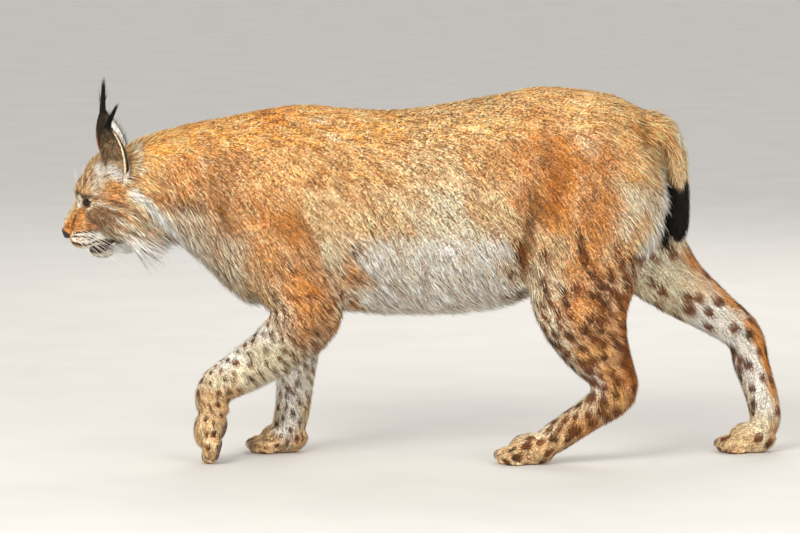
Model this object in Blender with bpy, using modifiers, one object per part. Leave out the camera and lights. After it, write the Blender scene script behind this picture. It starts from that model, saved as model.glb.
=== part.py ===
"""A Eurasian lynx in mid walk, life size, as a still museum model.

The nose points to -X, the left side faces -Y and up is +Z, with the paws on the floor
at Z = 0. The flesh is modelled whole, as lofts and lumps that are fused, smoothed and
thinned, and is then parted with thin cuts into head, neck, torso, tail and legs. The
ears, eyes and nose leather are fitted to the head with a small gap. Ruff, ear tufts,
chest and belly coat are flat tapered locks rooted in the node that they grow from.
"""

import math
import random
from collections import namedtuple

import bmesh
import bpy
import numpy as np
from mathutils import Matrix, Vector
from mathutils.bvhtree import BVHTree

# Driving dimensions, in metres
GAP = 0.0003
GROWTH = 0.00042  # how far a faceted copy is grown to leave the gap all round
FLESH_VOXEL = 0.0035  # first the large forms are fused and smoothed
FLESH_STEPS = 32
FACE_VOXEL = 0.0025  # then face and paws are added and fused
FACE_STEPS = 6
FAR_OUT = 0.2  # rays start this far from the middle plane
FAR_AHEAD = 0.7
SPARE = 0.004  # head and body are first cut this much too long, and then exactly
SINK = 0.0025  # how deep a paw is modelled below the floor, to leave a flat sole
HEAD_ROLL = math.radians(4)
HEAD_YAW = math.radians(4)
HEAD_PIVOT = Vector((-0.50, 0, 0.43))
EYE_RADIUS = 0.0135
EYE_PLACE = Vector((-0.5505, 0.0268, 0.4345))
EAR_HEIGHT = 0.090
EAR_ROOT = 0.007  # how far the cup is carried down into the head
EAR_SWEEP = 0.018  # how far the tip lies towards the front rim
EAR_RADIUS = 0.0215
EAR_DEPTH = 0.78  # how deep the cup is, for its width
EAR_THICKNESS = 0.003
EAR_CURVE = -0.004  # how far the tip bends towards the opening
EAR_WRAP = 120  # degrees that the cup reaches round to each side at its base
EAR_TIP_WRAP = 75
EAR_TIP_RADIUS = 0.0016
EAR_OFFSET = 0.35  # how far the cup's middle lies before its back, as a share of radius
EAR_ROWS = 7
EAR_POINTS = 8
EAR_PLACE = {-1: Vector((-0.505, -0.043, 0.483)), 1: Vector((-0.508, 0.043, 0.487))}
# Degrees for the left (-1) and right (1) ear: out from the head, forward, turned out
EAR_LEAN = {-1: 20, 1: 6}
EAR_NOD = {-1: 2.5, 1: 4}
EAR_TURN = {-1: 55, 1: 72}
EYE_TURN = 48  # degrees that each eye looks out from straight ahead
LID_LENGTH = 0.0235
LID_HEIGHT = 0.0150
LID_DEPTH = 0.016
LID_TAPER = 0.75  # how far the opening narrows to its corners
LID_SLANT = 14
LID_THICKNESS = 0.0036
MOUTH_LINE = [
    (-0.508, 0.3690),
    (-0.522, 0.3625),
    (-0.538, 0.3560),
    (-0.556, 0.3535),
    (-0.570, 0.3570),
]
MOUTH_FRONT_HEIGHT = 0.3620
MOUTH_RADIUS = 0.0022

# The locks of ruff, ear tufts, chest and belly
LOCK_SEED = 7
LOCK_SUNK = 0.009  # how deep a root sits below the surface
LOCK_THICKNESS = 0.0045  # at the ridge along its outer side
LOCK_ROOM = 0.012  # how close to a leg a lock's middle line may come
LOCK_FLOOR = 0.01  # how close to the floor
STEEPEST_ROOT = -0.25  # the flank is this steep where the fringe ends, as a normal's z
# Rings of a lock: how far along, and its width and thickness as shares
LOCK_PROFILE = [
    (0.00, 0.72, 0.85),
    (0.38, 1.00, 1.00),
    (0.74, 0.66, 0.70),
    (1.00, 0.09, 0.16),
]

# How finely each piece of flesh is kept
BODY_TRIANGLES = 3800
HEAD_TRIANGLES = 2200

Section = namedtuple("Section", "x top bottom half_width")
Joint = namedtuple("Joint", "x y z deep wide")
Lump = namedtuple("Lump", "x y z long wide tall tilt")

# The trunk from the nape to the rump, as heights of back and belly over the floor
TRUNK = [
    Section(-0.500, 0.520, 0.385, 0.055),
    Section(-0.460, 0.541, 0.368, 0.068),
    Section(-0.415, 0.556, 0.361, 0.076),
    Section(-0.372, 0.566, 0.332, 0.084),
    Section(-0.330, 0.573, 0.290, 0.094),
    Section(-0.288, 0.582, 0.261, 0.102),
    Section(-0.205, 0.594, 0.252, 0.108),
    Section(-0.122, 0.588, 0.245, 0.112),
    Section(-0.038, 0.586, 0.242, 0.116),
    Section(0.045, 0.598, 0.243, 0.116),
    Section(0.128, 0.612, 0.254, 0.110),
    Section(0.195, 0.624, 0.280, 0.108),
    Section(0.295, 0.615, 0.340, 0.100),
    Section(0.345, 0.597, 0.390, 0.080),
    Section(0.376, 0.576, 0.450, 0.044),
]
TRUNK_RINGS = 48
TRUNK_SIDES = 40
TRUNK_MIDDLE = 0.48  # where it is widest, as a share of its height
TRUNK_PEAR = 0.10  # how much wider it is below than above
# Legs as points along the bone, with half the depth fore and aft and half the width
HIND_LEFT = [
    Joint(0.280, -0.040, 0.565, 0.045, 0.030),
    Joint(0.285, -0.056, 0.500, 0.100, 0.044),
    Joint(0.284, -0.063, 0.430, 0.118, 0.054),
    Joint(0.265, -0.070, 0.350, 0.102, 0.052),
    Joint(0.262, -0.074, 0.265, 0.085, 0.046),
    Joint(0.283, -0.076, 0.200, 0.062, 0.038),
    Joint(0.312, -0.076, 0.150, 0.043, 0.031),
    Joint(0.318, -0.075, 0.118, 0.038, 0.028),
    Joint(0.270, -0.073, 0.080, 0.030, 0.028),
    Joint(0.222, -0.071, 0.046, 0.028, 0.030),
    Joint(0.195, -0.070, 0.028, 0.024, 0.030),
]
HIND_RIGHT = [
    Joint(0.280, 0.040, 0.565, 0.045, 0.030),
    Joint(0.290, 0.056, 0.500, 0.098, 0.044),
    Joint(0.318, 0.064, 0.430, 0.105, 0.052),
    Joint(0.362, 0.070, 0.355, 0.082, 0.046),
    Joint(0.420, 0.072, 0.290, 0.058, 0.038),
    Joint(0.490, 0.072, 0.238, 0.042, 0.031),
    Joint(0.540, 0.070, 0.198, 0.035, 0.027),
    Joint(0.553, 0.069, 0.150, 0.033, 0.026),
    Joint(0.570, 0.067, 0.100, 0.030, 0.027),
    Joint(0.578, 0.066, 0.055, 0.028, 0.030),
    Joint(0.565, 0.066, 0.030, 0.024, 0.031),
]
FORE_LEFT = [
    Joint(-0.215, -0.050, 0.500, 0.070, 0.040),
    Joint(-0.225, -0.066, 0.410, 0.095, 0.042),
    Joint(-0.205, -0.072, 0.310, 0.080, 0.042),
    Joint(-0.192, -0.074, 0.250, 0.060, 0.038),
    Joint(-0.245, -0.073, 0.192, 0.047, 0.034),
    Joint(-0.300, -0.071, 0.155, 0.040, 0.031),
    Joint(-0.340, -0.069, 0.130, 0.034, 0.029),
    Joint(-0.352, -0.067, 0.105, 0.029, 0.029),
    Joint(-0.340, -0.066, 0.075, 0.026, 0.031),
]
FORE_RIGHT = [
    Joint(-0.215, 0.050, 0.500, 0.070, 0.040),
    Joint(-0.225, 0.066, 0.410, 0.090, 0.042),
    Joint(-0.208, 0.072, 0.310, 0.068, 0.042),
    Joint(-0.205, 0.073, 0.240, 0.050, 0.037),
    Joint(-0.212, 0.071, 0.170, 0.040, 0.032),
    Joint(-0.216, 0.069, 0.110, 0.034, 0.029),
    Joint(-0.220, 0.067, 0.070, 0.032, 0.030),
    Joint(-0.228, 0.066, 0.035, 0.030, 0.031),
]
TAIL = [
    Joint(0.350, 0, 0.560, 0.028, 0.030),
    Joint(0.388, 0, 0.557, 0.025, 0.027),
    Joint(0.411, 0, 0.533, 0.022, 0.024),
    Joint(0.422, 0, 0.490, 0.021, 0.022),
    Joint(0.424, 0, 0.440, 0.022, 0.022),
    Joint(0.424, 0, 0.400, 0.022, 0.022),
    Joint(0.423, 0, 0.378, 0.016, 0.016),
]
TAIL_END = Lump(0.4235, 0, 0.388, 0.022, 0.022, 0.022, 0)

# Lumps of the head, on its middle plane or on the left and right alike
SKULL = Lump(-0.507, 0, 0.466, 0.061, 0.056, 0.055, 0)
BROW = Lump(-0.552, 0, 0.446, 0.030, 0.036, 0.034, 0)
NAPE = Lump(-0.475, 0, 0.455, 0.062, 0.064, 0.070, 0)
THROAT = Lump(-0.468, 0, 0.398, 0.052, 0.056, 0.048, 0)
MUZZLE = Lump(-0.553, 0, 0.388, 0.036, 0.026, 0.030, 0)
JAW = Lump(-0.507, 0, 0.366, 0.044, 0.036, 0.025, 0)
CHEEK = Lump(-0.503, 0.036, 0.412, 0.044, 0.034, 0.044, 0)
TEMPLE = Lump(-0.530, 0.030, 0.440, 0.030, 0.026, 0.034, 0)
CHIN = Lump(-0.534, 0, 0.350, 0.023, 0.0175, 0.0155, 0)
WHISKER_PAD = Lump(-0.5655, 0.0145, 0.3715, 0.0235, 0.0165, 0.0190, 0)
BROW_RIDGE = Lump(-0.554, 0.0265, 0.4480, 0.019, 0.012, 0.010, 10)
EAR_BASE = Lump(-0.498, 0.040, 0.474, 0.026, 0.020, 0.022, 0)
CHEEKBONE = Lump(-0.536, 0.032, 0.416, 0.027, 0.015, 0.020, 20)
MUZZLE_SIDE = Lump(-0.553, 0.0140, 0.403, 0.020, 0.0125, 0.024, 20)
NOSE_BRIDGE = [
    Joint(-0.550, 0, 0.450, 0.024, 0.021),
    Joint(-0.561, 0, 0.426, 0.020, 0.0165),
    Joint(-0.5725, 0, 0.403, 0.0180, 0.0145),
    Joint(-0.5845, 0, 0.3850, 0.0150, 0.0140),
]
NOSE_PAD = Lump(-0.5900, 0, 0.3790, 0.0115, 0.0155, 0.0105, -20)
NOSE_DETAIL = 3
NOSE_FLARE = 0.22  # how much wider the leather is above than below
NOSE_FLAT = 0.86  # where its front is cut flat, as a share of its length
NOSTRIL = Lump(-0.6000, 0.0085, 0.3785, 0.0060, 0.0026, 0.0034, 0)
# The core of the ruff, under its locks
RUFF_CORE = Lump(-0.482, 0.048, 0.386, 0.024, 0.018, 0.034, -30)

RUFF_STRAY = 7  # degrees that a lock of the ruff strays from its row's slope
# Rows of ruff locks by their roots' path as x, z and degrees below level, front first
RuffRow = namedtuple("RuffRow", "path count length width lift")
RUFF_ROWS = [
    RuffRow([(-0.506, 0.352, 26), (-0.496, 0.372, 42), (-0.490, 0.400, 48)], 4, 0.025, 0.020, 0.40),
    RuffRow([(-0.492, 0.352, 32), (-0.482, 0.374, 48), (-0.478, 0.412, 46), (-0.482, 0.444, 40)],
            6, 0.038, 0.021, 0.48),
    RuffRow([(-0.480, 0.350, 36), (-0.472, 0.368, 44), (-0.468, 0.396, 48), (-0.470, 0.430, 44),
             (-0.476, 0.462, 36)], 7, 0.049, 0.023, 0.38),
]
# Rows of hanging locks: start and end along X, the height they are cast from, degrees
# round from straight down, and how far each leans back, down and out
Row = namedtuple("Row", "start end count height around length width back down lift")
NECK_ROWS = [
    Row(-0.456, -0.380, 3, 0.44, around, 0.034, 0.028, 0.75, 0.66, 0.16)
    for around in (-42, 0, 42)
]
CHEST_ROWS = [
    Row(-0.364, -0.276, 4, 0.40, around, 0.036, 0.030, 0.72, 0.66, 0.16)
    for around in (-36, 0, 36)
]
BELLY_ROWS = [
    Row(-0.275, 0.165, 12, 0.40, around, 0.040, 0.033, 0.90, 0.40, 0.22)
    for around in (-36, -13, 13, 36)
]
TUFT_LENGTH = {-1: 0.037, 1: 0.045}
TUFT_WIDTH = 0.0075
TUFT_WAY = {-1: (0.15, -0.50, 1), 1: (0.02, 0.13, 1)}
TUFT_FAN = [(-0.16, 0.72), (0, 1), (0.16, 0.80)]

# A paw lies with its toes towards -X and its sole at Z = 0
PAW_PAD = Lump(0.004, 0, 0.025, 0.042, 0.035, 0.028, 0)
TOE_SIZE = (0.023, 0.0130, 0.0160)
TOE_OFFSETS = [(-0.026, -0.0235), (-0.037, -0.0085), (-0.037, 0.0085), (-0.026, 0.0235)]
PAW_PLACES = {
    "hind_left": (0.178, -0.070, 0, 0),
    "hind_right": (0.552, 0.066, 0, 0),
    "fore_right": (-0.238, 0.066, 0, 0),
    "fore_left": (-0.330, -0.066, 0.052, -74),
}

FINISHES = {
    "nose": ("nose", 0.45),
    "ear_left": ("grey", 0.9),
    "ear_right": ("grey", 0.9),
    "eye_left": ("eye", 0.15),
    "eye_right": ("eye", 0.15),
    "hind_paw_left": ("cream", 0.9),
    "hind_paw_right": ("cream", 0.9),
    "fore_paw_left": ("cream", 0.9),
    "fore_paw_right": ("cream", 0.9),
}
COLOURS = {
    "tan": (0.52, 0.31, 0.15),
    "cream": (0.66, 0.55, 0.42),
    "grey": (0.20, 0.17, 0.14),
    "nose": (0.16, 0.07, 0.06),
    "eye": (0.42, 0.30, 0.08),
}


def smoothed(rows, count):
    """Rows of numbers along a smooth curve through the given rows."""
    knots = np.array(rows, float)
    before = 2 * knots[0] - knots[1]
    after = 2 * knots[-1] - knots[-2]
    padded = np.vstack([before, knots, after])
    result = []
    for u in np.linspace(0, len(knots) - 1, count):
        i = min(int(u), len(knots) - 2)
        t = u - i
        a, b, c, d = padded[i : i + 4]
        bend = (2 * a - 5 * b + 4 * c - d) * t * t
        twist = (3 * b - a - 3 * c + d) * t**3
        result.append(0.5 * (2 * b + (c - a) * t + bend + twist))
    return result


def loft(bm, rings):
    """Adds a closed skin through rings of points, capped at both ends."""
    loops = [[bm.verts.new(point) for point in ring] for ring in rings]
    for low, high in zip(loops, loops[1:]):
        for i in range(len(low)):
            j = (i + 1) % len(low)
            bm.faces.new((low[i], low[j], high[j], high[i]))
    bm.faces.new(list(reversed(loops[0])))
    bm.faces.new(loops[-1])


def add_trunk(bm):
    """Adds the trunk, pear shaped across, a little wider below than above."""
    rings = []
    for x, top, bottom, half_width in smoothed(TRUNK, TRUNK_RINGS):
        middle = bottom + TRUNK_MIDDLE * (top - bottom)
        ring = []
        for i in range(TRUNK_SIDES):
            turn = 2 * math.pi * i / TRUNK_SIDES
            up = math.cos(turn)
            out = math.sin(turn) * (1 - TRUNK_PEAR * up)
            reach = top - middle if up > 0 else middle - bottom
            ring.append(Vector((x, half_width * out, middle + reach * up)))
        rings.append(ring)
    loft(bm, rings)


def add_limb(bm, joints, count=30, sides=24):
    """Adds a limb, tail or bridge whose rings stand across its path."""
    rows = smoothed(joints, count)
    rings = []
    for i, (x, y, z, deep, wide) in enumerate(rows):
        after = Vector(rows[min(i + 1, count - 1)][:3])
        before = Vector(rows[max(i - 1, 0)][:3])
        across = Vector((0, 1, 0)).cross(after - before).normalized()
        ring = []
        for k in range(sides):
            turn = 2 * math.pi * k / sides
            side = Vector((0, wide * math.sin(turn), 0))
            ring.append(Vector((x, y, z)) + across * deep * math.cos(turn) + side)
        rings.append(ring)
    loft(bm, rings)


def add_lump(bm, lump, frame=Matrix.Identity(4), side=1, detail=4):
    """Adds an ellipsoid in the given frame; side -1 mirrors it to the left."""
    tilt = Matrix.Rotation(math.radians(lump.tilt), 4, "Y")
    size = Matrix.Diagonal((lump.long, lump.wide, lump.tall, 1))
    place = Matrix.Translation((lump.x, side * lump.y, lump.z))
    matrix = frame @ place @ tilt @ size
    bmesh.ops.create_icosphere(bm, subdivisions=detail, radius=1, matrix=matrix)


def paw_frame(x, y, z, pitch):
    """The place of a paw, with its toes pitched down by that many degrees."""
    turn = Matrix.Rotation(math.radians(pitch), 4, "Y")
    return Matrix.Translation((x, y, z)) @ turn


def add_paw(bm, frame):
    """Adds the pad and the four toes of a paw."""
    add_lump(bm, PAW_PAD, frame)
    for forward, sideways in TOE_OFFSETS:
        long, wide, tall = TOE_SIZE
        toe = Lump(forward, sideways, tall - SINK, long, wide, tall, 0)
        add_lump(bm, toe, frame)


def head_turn():
    """The turn of the head: its right side a little up, its nose a little to the left."""
    turn = Matrix.Rotation(HEAD_YAW, 4, "Z") @ Matrix.Rotation(HEAD_ROLL, 4, "X")
    return Matrix.Translation(HEAD_PIVOT) @ turn @ Matrix.Translation(-HEAD_PIVOT)


def add_skull(bm):
    """Adds the large lumps of the head."""
    roll = head_turn()
    for lump in (SKULL, BROW, NAPE, THROAT, MUZZLE, JAW):
        add_lump(bm, lump, roll)
    for lump in (CHEEK, TEMPLE, RUFF_CORE):
        for side in (-1, 1):
            add_lump(bm, lump, roll, side)


def add_face(bm):
    """Adds chin, whisker pads, lids, brows, ear bases and the bridge of the nose."""
    roll = head_turn()
    add_lump(bm, CHIN, roll)
    for side in (-1, 1):
        for lump in (WHISKER_PAD, MUZZLE_SIDE, BROW_RIDGE, CHEEKBONE, EAR_BASE):
            add_lump(bm, lump, roll, side)
        x, y, z = EYE_PLACE
        lids = EYE_RADIUS + LID_THICKNESS
        add_lump(bm, Lump(x, y, z, lids, lids, lids, 0), roll, side)
    bridge = bmesh.new()
    add_limb(bridge, NOSE_BRIDGE, 16)
    bridge.transform(roll)
    add_mesh_copy(bm, bridge)
    bridge.free()


def add_mesh_copy(bm, other):
    """Adds a copy of another bmesh."""
    mesh = bpy.data.meshes.new("copy")
    other.to_mesh(mesh)
    bm.from_mesh(mesh)
    bpy.data.meshes.remove(mesh)


def mesh_object(name, bm, collection):
    """Turns a bmesh into a named object, its faces pointing out."""
    bmesh.ops.recalc_face_normals(bm, faces=bm.faces)
    if bm.calc_volume(signed=True) < 0:
        bmesh.ops.reverse_faces(bm, faces=bm.faces)
    mesh = bpy.data.meshes.new(name)
    bm.to_mesh(mesh)
    bm.free()
    obj = bpy.data.objects.new(name, mesh)
    collection.objects.link(obj)
    return obj


def apply_modifiers(obj):
    """Makes the evaluated mesh the object's own mesh."""
    graph = bpy.context.evaluated_depsgraph_get()
    graph.update()
    mesh = bpy.data.meshes.new_from_object(obj.evaluated_get(graph))
    obj.modifiers.clear()
    old = obj.data
    obj.data = mesh
    bpy.data.meshes.remove(old)


def fuse_clay(obj, voxel, steps):
    """Fuses overlapping lumps into one skin, smoothed by that many steps."""
    remesh = obj.modifiers.new("Fuse", "REMESH")
    remesh.mode = "VOXEL"
    remesh.voxel_size = voxel
    smooth = obj.modifiers.new("Smooth", "SMOOTH")
    smooth.factor = 0.5
    smooth.iterations = steps
    apply_modifiers(obj)
    keep_largest(obj)


def join_mesh(obj, bm):
    """Adds the loose pieces of a bmesh to an object's mesh."""
    bmesh.ops.recalc_face_normals(bm, faces=bm.faces)
    bm.from_mesh(obj.data)
    bm.to_mesh(obj.data)
    bm.free()


def thin_out(obj, triangles):
    """Decimates the mesh to about that many triangles."""
    bm = bmesh.new()
    bm.from_mesh(obj.data)
    bmesh.ops.triangulate(bm, faces=bm.faces)
    count = len(bm.faces)
    bm.to_mesh(obj.data)
    bm.free()
    decimate = obj.modifiers.new("Thin", "DECIMATE")
    decimate.ratio = min(1.0, triangles / count)
    apply_modifiers(obj)


def shells(bm):
    """The vertices of each connected surface."""
    left = set(bm.verts)
    found = []
    while left:
        start = left.pop()
        shell = {start}
        queue = [start]
        while queue:
            vertex = queue.pop()
            for edge in vertex.link_edges:
                other = edge.other_vert(vertex)
                if other in left:
                    left.discard(other)
                    shell.add(other)
                    queue.append(other)
        found.append(shell)
    return found


def keep_largest(obj):
    """Keeps only the closed surface with the most area."""
    bm = bmesh.new()
    bm.from_mesh(obj.data)

    def area(shell):
        faces = {face for vertex in shell for face in vertex.link_faces}
        return sum(face.calc_area() for face in faces)

    ranked = sorted(shells(bm), key=area)
    for shell in ranked[:-1]:
        bmesh.ops.delete(bm, geom=list(shell), context="VERTS")
    bm.to_mesh(obj.data)
    bm.free()


def keep_side(obj, point, normal):
    """Cuts the mesh with a plane, keeps the side that the normal points to, and caps it."""
    bm = bmesh.new()
    bm.from_mesh(obj.data)
    geometry = bm.verts[:] + bm.edges[:] + bm.faces[:]
    bmesh.ops.bisect_plane(
        bm, geom=geometry, plane_co=point, plane_no=normal, clear_inner=True, dist=1e-6
    )
    rim = [edge for edge in bm.edges if edge.is_boundary]
    bmesh.ops.triangle_fill(bm, use_beauty=True, edges=rim)
    bmesh.ops.recalc_face_normals(bm, faces=bm.faces)
    bm.to_mesh(obj.data)
    bm.free()


def copy_object(obj, name):
    """A copy with its own mesh, in the same collection."""
    twin = bpy.data.objects.new(name, obj.data.copy())
    obj.users_collection[0].objects.link(twin)
    return twin


def boolean(obj, other, operation="DIFFERENCE", solver="EXACT"):
    """Applies one Boolean with a closed mesh object."""
    modifier = obj.modifiers.new("Boolean", "BOOLEAN")
    modifier.operation = operation
    modifier.object = other
    modifier.solver = solver
    apply_modifiers(obj)


def remove(obj):
    bpy.data.objects.remove(obj)


def grown(obj, name, cutters):
    """A cutter that is the object grown by the gap."""
    twin = bpy.data.objects.new(name, obj.data.copy())
    cutters.objects.link(twin)
    displace = twin.modifiers.new("Grow", "DISPLACE")
    displace.strength = GROWTH
    displace.mid_level = 0
    apply_modifiers(twin)
    return twin


# Where the flesh is parted: a box by its centre, the direction of its thickness, and
# its length, width and thickness. The boxes stand square to the middle plane.
Plate = namedtuple("Plate", "point normal long wide thick")
HEAD_CUT = (Vector((-0.4675, 0, 0.43)), Vector((1, 0, 0.10)).normalized())
TAIL_PLATE = Plate((0.403, 0, 0.552), (0.80, 0, -0.60), 0.084, 0.064, GAP)
HIP_LEVEL = Vector((0.300, 0, 0.385))
HIP_NORMAL = Vector((-0.60, 0, 0.80))
CROTCH_DEPTH = 0.30
PLATES = [
    Plate((-0.360, 0, 0.45), (1, 0, -0.16), 0.40, 0.40, GAP),
    Plate(HIP_LEVEL, HIP_NORMAL, 0.48, 0.40, GAP),
    Plate(HIP_LEVEL - CROTCH_DEPTH / 2 * HIP_NORMAL, HIP_NORMAL, 0.48, GAP, CROTCH_DEPTH),
    Plate((0.265, -0.10, 0.205), (-0.25, 0, 0.97), 0.20, 0.19, GAP),
    Plate((0.440, 0.10, 0.270), (-0.85, 0, 0.53), 0.20, 0.19, GAP),
    Plate((0.290, -0.08, 0.095), (0.80, 0, 0.60), 0.12, 0.13, GAP),
    Plate((0.550, 0.07, 0.165), (-0.16, 0, 1), 0.12, 0.12, GAP),
    Plate((-0.210, -0.10, 0.236), (-0.05, 0, 1), 0.24, 0.19, GAP),
    Plate((-0.210, 0.10, 0.236), (0, 0, 1), 0.24, 0.19, GAP),
    Plate((-0.350, -0.067, 0.106), (0.22, 0, 1), 0.09, 0.09, GAP),
    Plate((-0.219, 0.067, 0.080), (0, 0, 1), 0.11, 0.11, GAP),
]
LEGS_BY_LOCKS = ("foreleg_left", "foreleg_right", "thigh_left", "thigh_right")
# A point near the middle of each node that the cuts leave, by which it is known
NODE_POINTS = {
    "neck": (-0.415, 0, 0.45),
    "torso": (0.00, 0, 0.45),
    "thigh_left": (0.27, -0.05, 0.31),
    "thigh_right": (0.34, 0.05, 0.34),
    "hind_leg_left": (0.30, -0.075, 0.17),
    "hind_leg_right": (0.50, 0.07, 0.22),
    "hind_paw_left": (0.22, -0.07, 0.05),
    "hind_paw_right": (0.55, 0.067, 0.06),
    "foreleg_left": (-0.27, -0.072, 0.17),
    "foreleg_right": (-0.213, 0.07, 0.16),
    "fore_paw_left": (-0.340, -0.066, 0.06),
    "fore_paw_right": (-0.235, 0.066, 0.03),
}


def make_plate(shape, cutters):
    """A thin box that parts a member."""
    bm = bmesh.new()
    bmesh.ops.create_cube(bm, size=1)
    up = Vector(shape.normal).normalized()
    side = Vector((0, 1, 0))
    turn = Matrix((side.cross(up), side, up)).transposed().to_4x4()
    size = Matrix.Diagonal((shape.long, shape.wide, shape.thick, 1))
    bm.transform(Matrix.Translation(shape.point) @ turn @ size)
    return mesh_object("plate", bm, cutters)


def take_shell(source, shell, name, parts):
    """Makes a node of one closed surface of the source mesh."""
    piece = bmesh.new()
    piece.from_mesh(source)
    rest = [vertex for vertex in piece.verts if vertex.index not in shell]
    bmesh.ops.delete(piece, geom=rest, context="VERTS")
    return mesh_object(name, piece, parts)


def shell_list(mesh):
    """Each closed surface of a mesh, as its middle and its vertex numbers."""
    bm = bmesh.new()
    bm.from_mesh(mesh)
    bm.verts.index_update()
    found = []
    for shell in shells(bm):
        points = [vertex.co for vertex in shell]
        low = Vector([min(axis) for axis in zip(*points)])
        high = Vector([max(axis) for axis in zip(*points)])
        found.append(((low + high) / 2, {vertex.index for vertex in shell}))
    bm.free()
    return sorted(found, key=lambda item: len(item[1]))


def part_flesh(body, parts, cutters):
    """Parts the flesh with plates and names each piece by its nearest point."""
    boolean(body, make_plate(TAIL_PLATE, cutters))
    tail_shell, trunk_shell = [shell for middle, shell in shell_list(body.data)][-2:]
    nodes = {"tail": take_shell(body.data, tail_shell, "tail", parts)}
    rest = take_shell(body.data, trunk_shell, "trunk", parts)
    remove(body)
    for shape in PLATES:
        boolean(rest, make_plate(shape, cutters))
    for middle, shell in shell_list(rest.data)[-len(NODE_POINTS) :]:
        name = min(NODE_POINTS, key=lambda key: (Vector(NODE_POINTS[key]) - middle).length)
        if name in nodes:
            raise ValueError(f"two pieces lie nearest to {name}")
        nodes[name] = take_shell(rest.data, shell, name, parts)
    remove(rest)
    return nodes


def ear_frame(side):
    """The place of an ear: its Z runs up the ear and its -X out of the opening."""
    lean, nod, turn = EAR_LEAN[side], EAR_NOD[side], EAR_TURN[side]
    place = Matrix.Translation(EAR_PLACE[side])
    out = Matrix.Rotation(math.radians(-side * lean), 4, "X")
    forward = Matrix.Rotation(math.radians(-nod), 4, "Y")
    open_way = Matrix.Rotation(math.radians(-side * turn), 4, "Z")
    return head_turn() @ place @ out @ forward @ open_way


def make_ear(name, side, head, parts, cutters):
    """A thin cup, wide and round at its base, that narrows to a point."""
    bm = bmesh.new()
    rows = []
    for i in range(-1, EAR_ROWS + 1):
        t = max(i, 0) / EAR_ROWS
        height = EAR_HEIGHT * t if i >= 0 else -EAR_ROOT
        swell = 0.78 + 1.1 * t - 0.75 * t * t
        radius = EAR_RADIUS * swell * (1 - t**2.4) ** 0.8 + EAR_TIP_RADIUS
        wrap = math.radians(EAR_WRAP - (EAR_WRAP - EAR_TIP_WRAP) * t)
        back = EAR_CURVE * t * t
        sweep = -side * EAR_SWEEP * t**1.3
        row = []
        for k in range(EAR_POINTS + 1):
            turn = wrap * (2 * k / EAR_POINTS - 1)
            x = EAR_DEPTH * radius * (math.cos(turn) - EAR_OFFSET) + back
            row.append(bm.verts.new((x, radius * math.sin(turn) + sweep, height)))
        rows.append(row)
    for low, high in zip(rows, rows[1:]):
        for k in range(EAR_POINTS):
            bm.faces.new((low[k], low[k + 1], high[k + 1], high[k]))
    bm.transform(ear_frame(side))
    ear = mesh_object(name, bm, parts)
    shell = ear.modifiers.new("Thickness", "SOLIDIFY")
    shell.thickness = EAR_THICKNESS
    shell.offset = 0
    apply_modifiers(ear)
    boolean(ear, grown(head, "head_round_" + name, cutters))
    keep_largest(ear)
    return ear


def ball(name, radius, centre, collection):
    bm = bmesh.new()
    bmesh.ops.create_uvsphere(bm, u_segments=13, v_segments=8, radius=radius)
    bm.transform(Matrix.Translation(centre))
    return mesh_object(name, bm, collection)


def lid_opening(name, side, cutters):
    """The almond hole between the lids, a lens that reaches out from the eye."""
    bm = bmesh.new()
    bmesh.ops.create_icosphere(bm, subdivisions=2, radius=1)
    bm.transform(Matrix.Diagonal((LID_DEPTH, LID_LENGTH / 2, LID_HEIGHT / 2, 1)))
    for vertex in bm.verts:
        taper = 1 - LID_TAPER * abs(vertex.co.y / (LID_LENGTH / 2)) ** 1.5
        vertex.co.z *= taper
    slant = Matrix.Rotation(math.radians(side * LID_SLANT), 4, "X")
    look = Matrix.Rotation(math.radians(-side * EYE_TURN), 4, "Z")
    x, y, z = EYE_PLACE
    ahead = Matrix.Translation((-EYE_RADIUS, 0, 0))
    place = Matrix.Translation((x, side * y, z))
    bm.transform(head_turn() @ place @ look @ ahead @ slant)
    return mesh_object(name, bm, cutters)


def make_eyes(head, parts, cutters):
    """Sinks an eye into each socket and opens the lids in front of it."""
    eyes = []
    for side, word in ((-1, "left"), (1, "right")):
        x, y, z = EYE_PLACE
        centre = head_turn() @ Vector((x, side * y, z))
        socket = ball("socket_" + word, EYE_RADIUS + 1.5 * GAP, centre, cutters)
        boolean(head, socket)
        boolean(head, lid_opening("lids_" + word, side, cutters))
        eyes.append(ball("eye_" + word, EYE_RADIUS, centre, parts))
    return eyes


def tube(name, points, radius, cutters):
    """A round tube along the points, as a closed mesh."""
    curve = bpy.data.curves.new(name, "CURVE")
    curve.dimensions = "3D"
    curve.bevel_depth = radius
    curve.bevel_resolution = 1
    curve.use_fill_caps = True
    spline = curve.splines.new("POLY")
    spline.points.add(len(points) - 1)
    for spot, point in zip(spline.points, points):
        spot.co = (*point, 1)
    guide = bpy.data.objects.new(name + "_guide", curve)
    cutters.objects.link(guide)
    graph = bpy.context.evaluated_depsgraph_get()
    graph.update()
    mesh = bpy.data.meshes.new_from_object(guide.evaluated_get(graph))
    remove(guide)
    bm = bmesh.new()
    bm.from_mesh(mesh)
    bmesh.ops.remove_doubles(bm, verts=bm.verts, dist=1e-6)
    return mesh_object(name, bm, cutters)


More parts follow.
